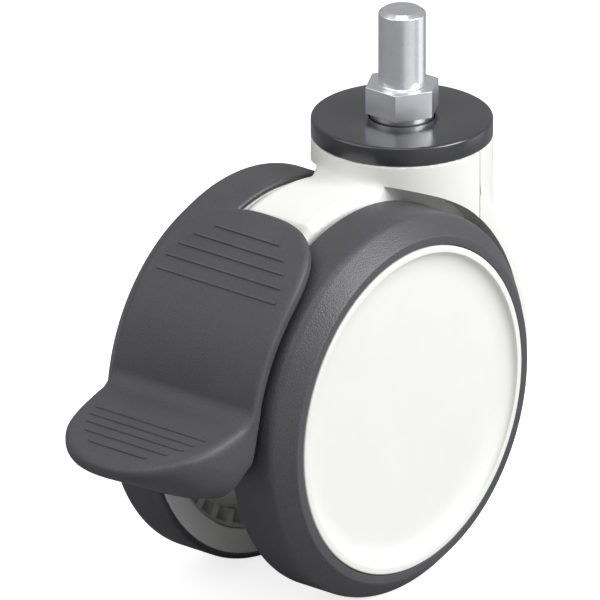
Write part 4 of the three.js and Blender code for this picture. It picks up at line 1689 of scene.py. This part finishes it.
    def _grip_rib(self, place: Callable[[float, float, float], Corner], end: float,
                  half_length: Callable[[float], float]) -> bpy.types.Object:
        """One low wedge that rises towards its front edge and drops off there.

        Args:
            place: Turns along, across and height into a point of the pedal's surface.
            end: Where the wedge drops off.
            half_length: Half the wedge's length at a place along.

        Returns:
            The wedge as a closed mesh, sunk into the surface.
        """
        start, crest, steps = end - self.rib_width, self.rib_crest, self.rib_steps
        rise, (base, skin) = end - crest - start, self.rib_sunk
        corners = []
        for along in [start + rise * i / steps for i in range(steps + 1)] + [end]:
            height = self.rib_height * min((along - start) / rise, 1) - skin
            height -= crest if along == end else 0.0
            half = half_length(along)
            corners += [place(along, side * half, level) for side, level in (
                (-1, -base), (1, -base), (1, height), (-1, height))]
        count = len(corners)
        faces = [[3, 2, 1, 0], list(range(count - 4, count)), *bands(4, count // 4)]
        return outward(mesh_piece("tool", corners, faces))

    def _pedal(self) -> bpy.types.Object:
        """The whole pedal in one piece.

        Returns:
            The pedal with its pocket ribs and grip ribs.
        """
        low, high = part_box("pedal")
        (x, _, z), half = self.layout.axle, self.pocket_half_height
        low.x = x + self.plate_across[0]
        under, back = self.toe_edges
        toe = Body(self._top).within(Body(self._underside), under)
        toe = toe.within(outlined(self.layout.placed(self.back)), back)
        body = self._plate().joined(toe, self.corner_fillet).within(Body(self._outline), self._edge)
        body = body.cut_by(cylinder(Axis.Y, self.layout.axle, self.inner), self.well_edge)
        piece = NetMaker(low, high, self.step).made("foot_pedal", body)
        boolean(piece, self._pocket_ribs(), Join.ADD)
        room, (rear, front) = self.pocket_rib_sides[0], self.pocket_across
        boolean(piece, box_tool((x + rear, -room, z - half), (x + front, room, z + half)), Join.CUT)
        for place, ends, half_length in ((self._toe_point, self.toe_ribs, self._toe_half),
                                         (self._plate_point, self.plate_ribs, self._plate_half)):
            for end in ends:
                boolean(piece, self._grip_rib(place, end, half_length), Join.ADD)
        return piece

    def build(self) -> None:
        """Builds the pedal and dresses the mechanism."""
        self.fitter.fit(smoothed(self._pedal(), 45), "pedal", self.finishes.pedal)
        for word in ("pedal_cam", "cam_drive_pin", "wheel_lock_bar", "pedal_pivot_pin",
                     "wheel_axle", "detent_spring"):
            self.fitter.dress(word, self.finishes.plated_cross)
        self.fitter.dress("swivel_lock_slider", self.finishes.acetal)


# ---------------------------------------------------------------- studio


@dataclass(frozen=True)
class Softbox:
    """A square soft light that faces the object, which the camera doesn't see."""

    name: str
    towards: Corner
    distance: float
    size: float
    power: float
    diffuse: bool = True

    def hang(self, aim: Vector) -> None:
        """Hangs the light.

        Args:
            aim: The place that it faces.
        """
        data = bpy.data.lights.new(self.name, "AREA")
        data.shape, data.size, data.energy = "SQUARE", self.size, self.power
        light = bpy.data.objects.new(self.name, data)
        bpy.context.scene.collection.objects.link(light)
        way = Vector(self.towards).normalized()
        light.location = aim + way * self.distance
        light.rotation_mode = "QUATERNION"
        light.rotation_quaternion = (-way).to_track_quat("-Z", "Y")
        light.visible_camera = False
        light.visible_diffuse = self.diffuse


@dataclass
class Studio:
    """Camera, floor and soft light."""

    layout: Layout
    azimuth: float = 130.013
    elevation: float = 22.062
    aim: Corner = (42.76 * MM, 2.42 * MM, -45.07 * MM)
    frame_width: float = 150.49 * MM
    lens: float = 1600.0
    sensor: float = 36.0
    floor_half: float = 4.0
    floor_grey: Colour = (0.33, 0.33, 0.335)
    floor_pale: Colour = (0.7, 0.7, 0.7)
    floor_glow: float = 0.78
    world_strength: Point2 = (0.42, 1.0)
    softboxes: tuple[Softbox, ...] = (
        Softbox("key", (-0.3, 0.8, 0.55), 0.9, 0.5, 7.6),
        Softbox("fill", (0.62, -0.4, 0.68), 1.0, 0.8, 2.9),
        Softbox("top", (0.15, 0.15, 0.98), 0.8, 0.4, 1.2),
        Softbox("rim", (-0.77, 0.52, -0.1), 0.36, 0.2, 0.1, diffuse=False),
        Softbox("side", (0.16, 0.91, -0.1), 0.36, 0.36, 0.15, diffuse=False),
    )

    def _back(self) -> Vector:
        """The direction from the object to the camera."""
        a, e = math.radians(self.azimuth), math.radians(self.elevation)
        return Vector((math.sin(a) * math.cos(e), -math.cos(a) * math.cos(e), math.sin(e)))

    def camera(self) -> None:
        """Sets the camera far back with a long lens, so that it sees almost in parallel."""
        data = bpy.data.cameras.new("camera")
        data.lens, data.sensor_width = self.lens, self.sensor
        camera = bpy.data.objects.new("camera", data)
        bpy.context.scene.collection.objects.link(camera)
        back = self._back()
        camera.location = Vector(self.aim) + back * (self.lens / self.sensor * self.frame_width)
        camera.rotation_mode = "QUATERNION"
        camera.rotation_quaternion = (-back).to_track_quat("-Z", "Y")
        bpy.context.scene.camera = camera

    def floor(self) -> None:
        """A plain pale floor under the wheels, which a view from below looks through.

        It is paler for the camera than for the light that it throws back at the caster.
        """
        half, level = self.floor_half, self.layout.floor - 0.05 * MM
        corners = [(-half, -half, level), (half, -half, level), (half, half, level),
                   (-half, half, level)]
        floor = mesh_piece("studio_floor", corners, [[0, 1, 2, 3]])
        material, shader = started("pale_floor")
        tree = material.node_tree
        seen = node(tree, "LightPath").outputs["Is Camera Ray"]
        fed(tree, shader.inputs["Base Color"], mixed(tree, seen, self.floor_grey, self.floor_pale))
        fed(tree, shader.inputs["Emission Strength"],
            calculated(tree, "MULTIPLY", seen, self.floor_glow))
        shader.inputs["Emission Color"].default_value = (1, 1, 1, 1)
        below = node(tree, "NewGeometry").outputs["Backfacing"]
        fed(tree, shader.inputs["Alpha"], calculated(tree, "SUBTRACT", 1.0, below))
        shader.inputs["Roughness"].default_value = 0.9
        shader.inputs["Specular IOR Level"].default_value = 0.1
        floor.data.materials.append(material)

    def lights(self) -> None:
        """Even soft light, with a stronger softbox above to the right."""
        world = bpy.data.worlds.new("studio")
        world.use_nodes = True
        tree = world.node_tree
        background = tree.nodes["Background"]
        background.inputs["Color"].default_value = (1, 1, 1, 1)
        seen = node(tree, "LightPath").outputs["Is Camera Ray"]
        fed(tree, background.inputs["Strength"], remapped(tree, seen, (0, 1), self.world_strength))
        bpy.context.scene.world = world
        for softbox in self.softboxes:
            softbox.hang(Vector(self.aim))

    def build(self) -> None:
        """Sets up the studio."""
        self.camera()
        self.floor()
        self.lights()
        bpy.context.scene.view_settings.view_transform = "Standard"


def main() -> None:
    """Builds the caster's looks around its frame and reports each piece."""
    logging.basicConfig(level=logging.INFO, format="%(name)s: %(message)s")
    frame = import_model()
    layout = Layout.from_frame()
    Studio(layout).build()
    finishes = Finishes(layout)
    fitter = Fitter(frame)
    StemAssembly(fitter, finishes).build()
    HousingAssembly(fitter, finishes, layout).build()
    for side in Side:
        WheelAssembly(fitter, finishes, layout, side).build()
    PedalAssembly(fitter, finishes, layout).build()


if __name__ == "__main__":
    main()
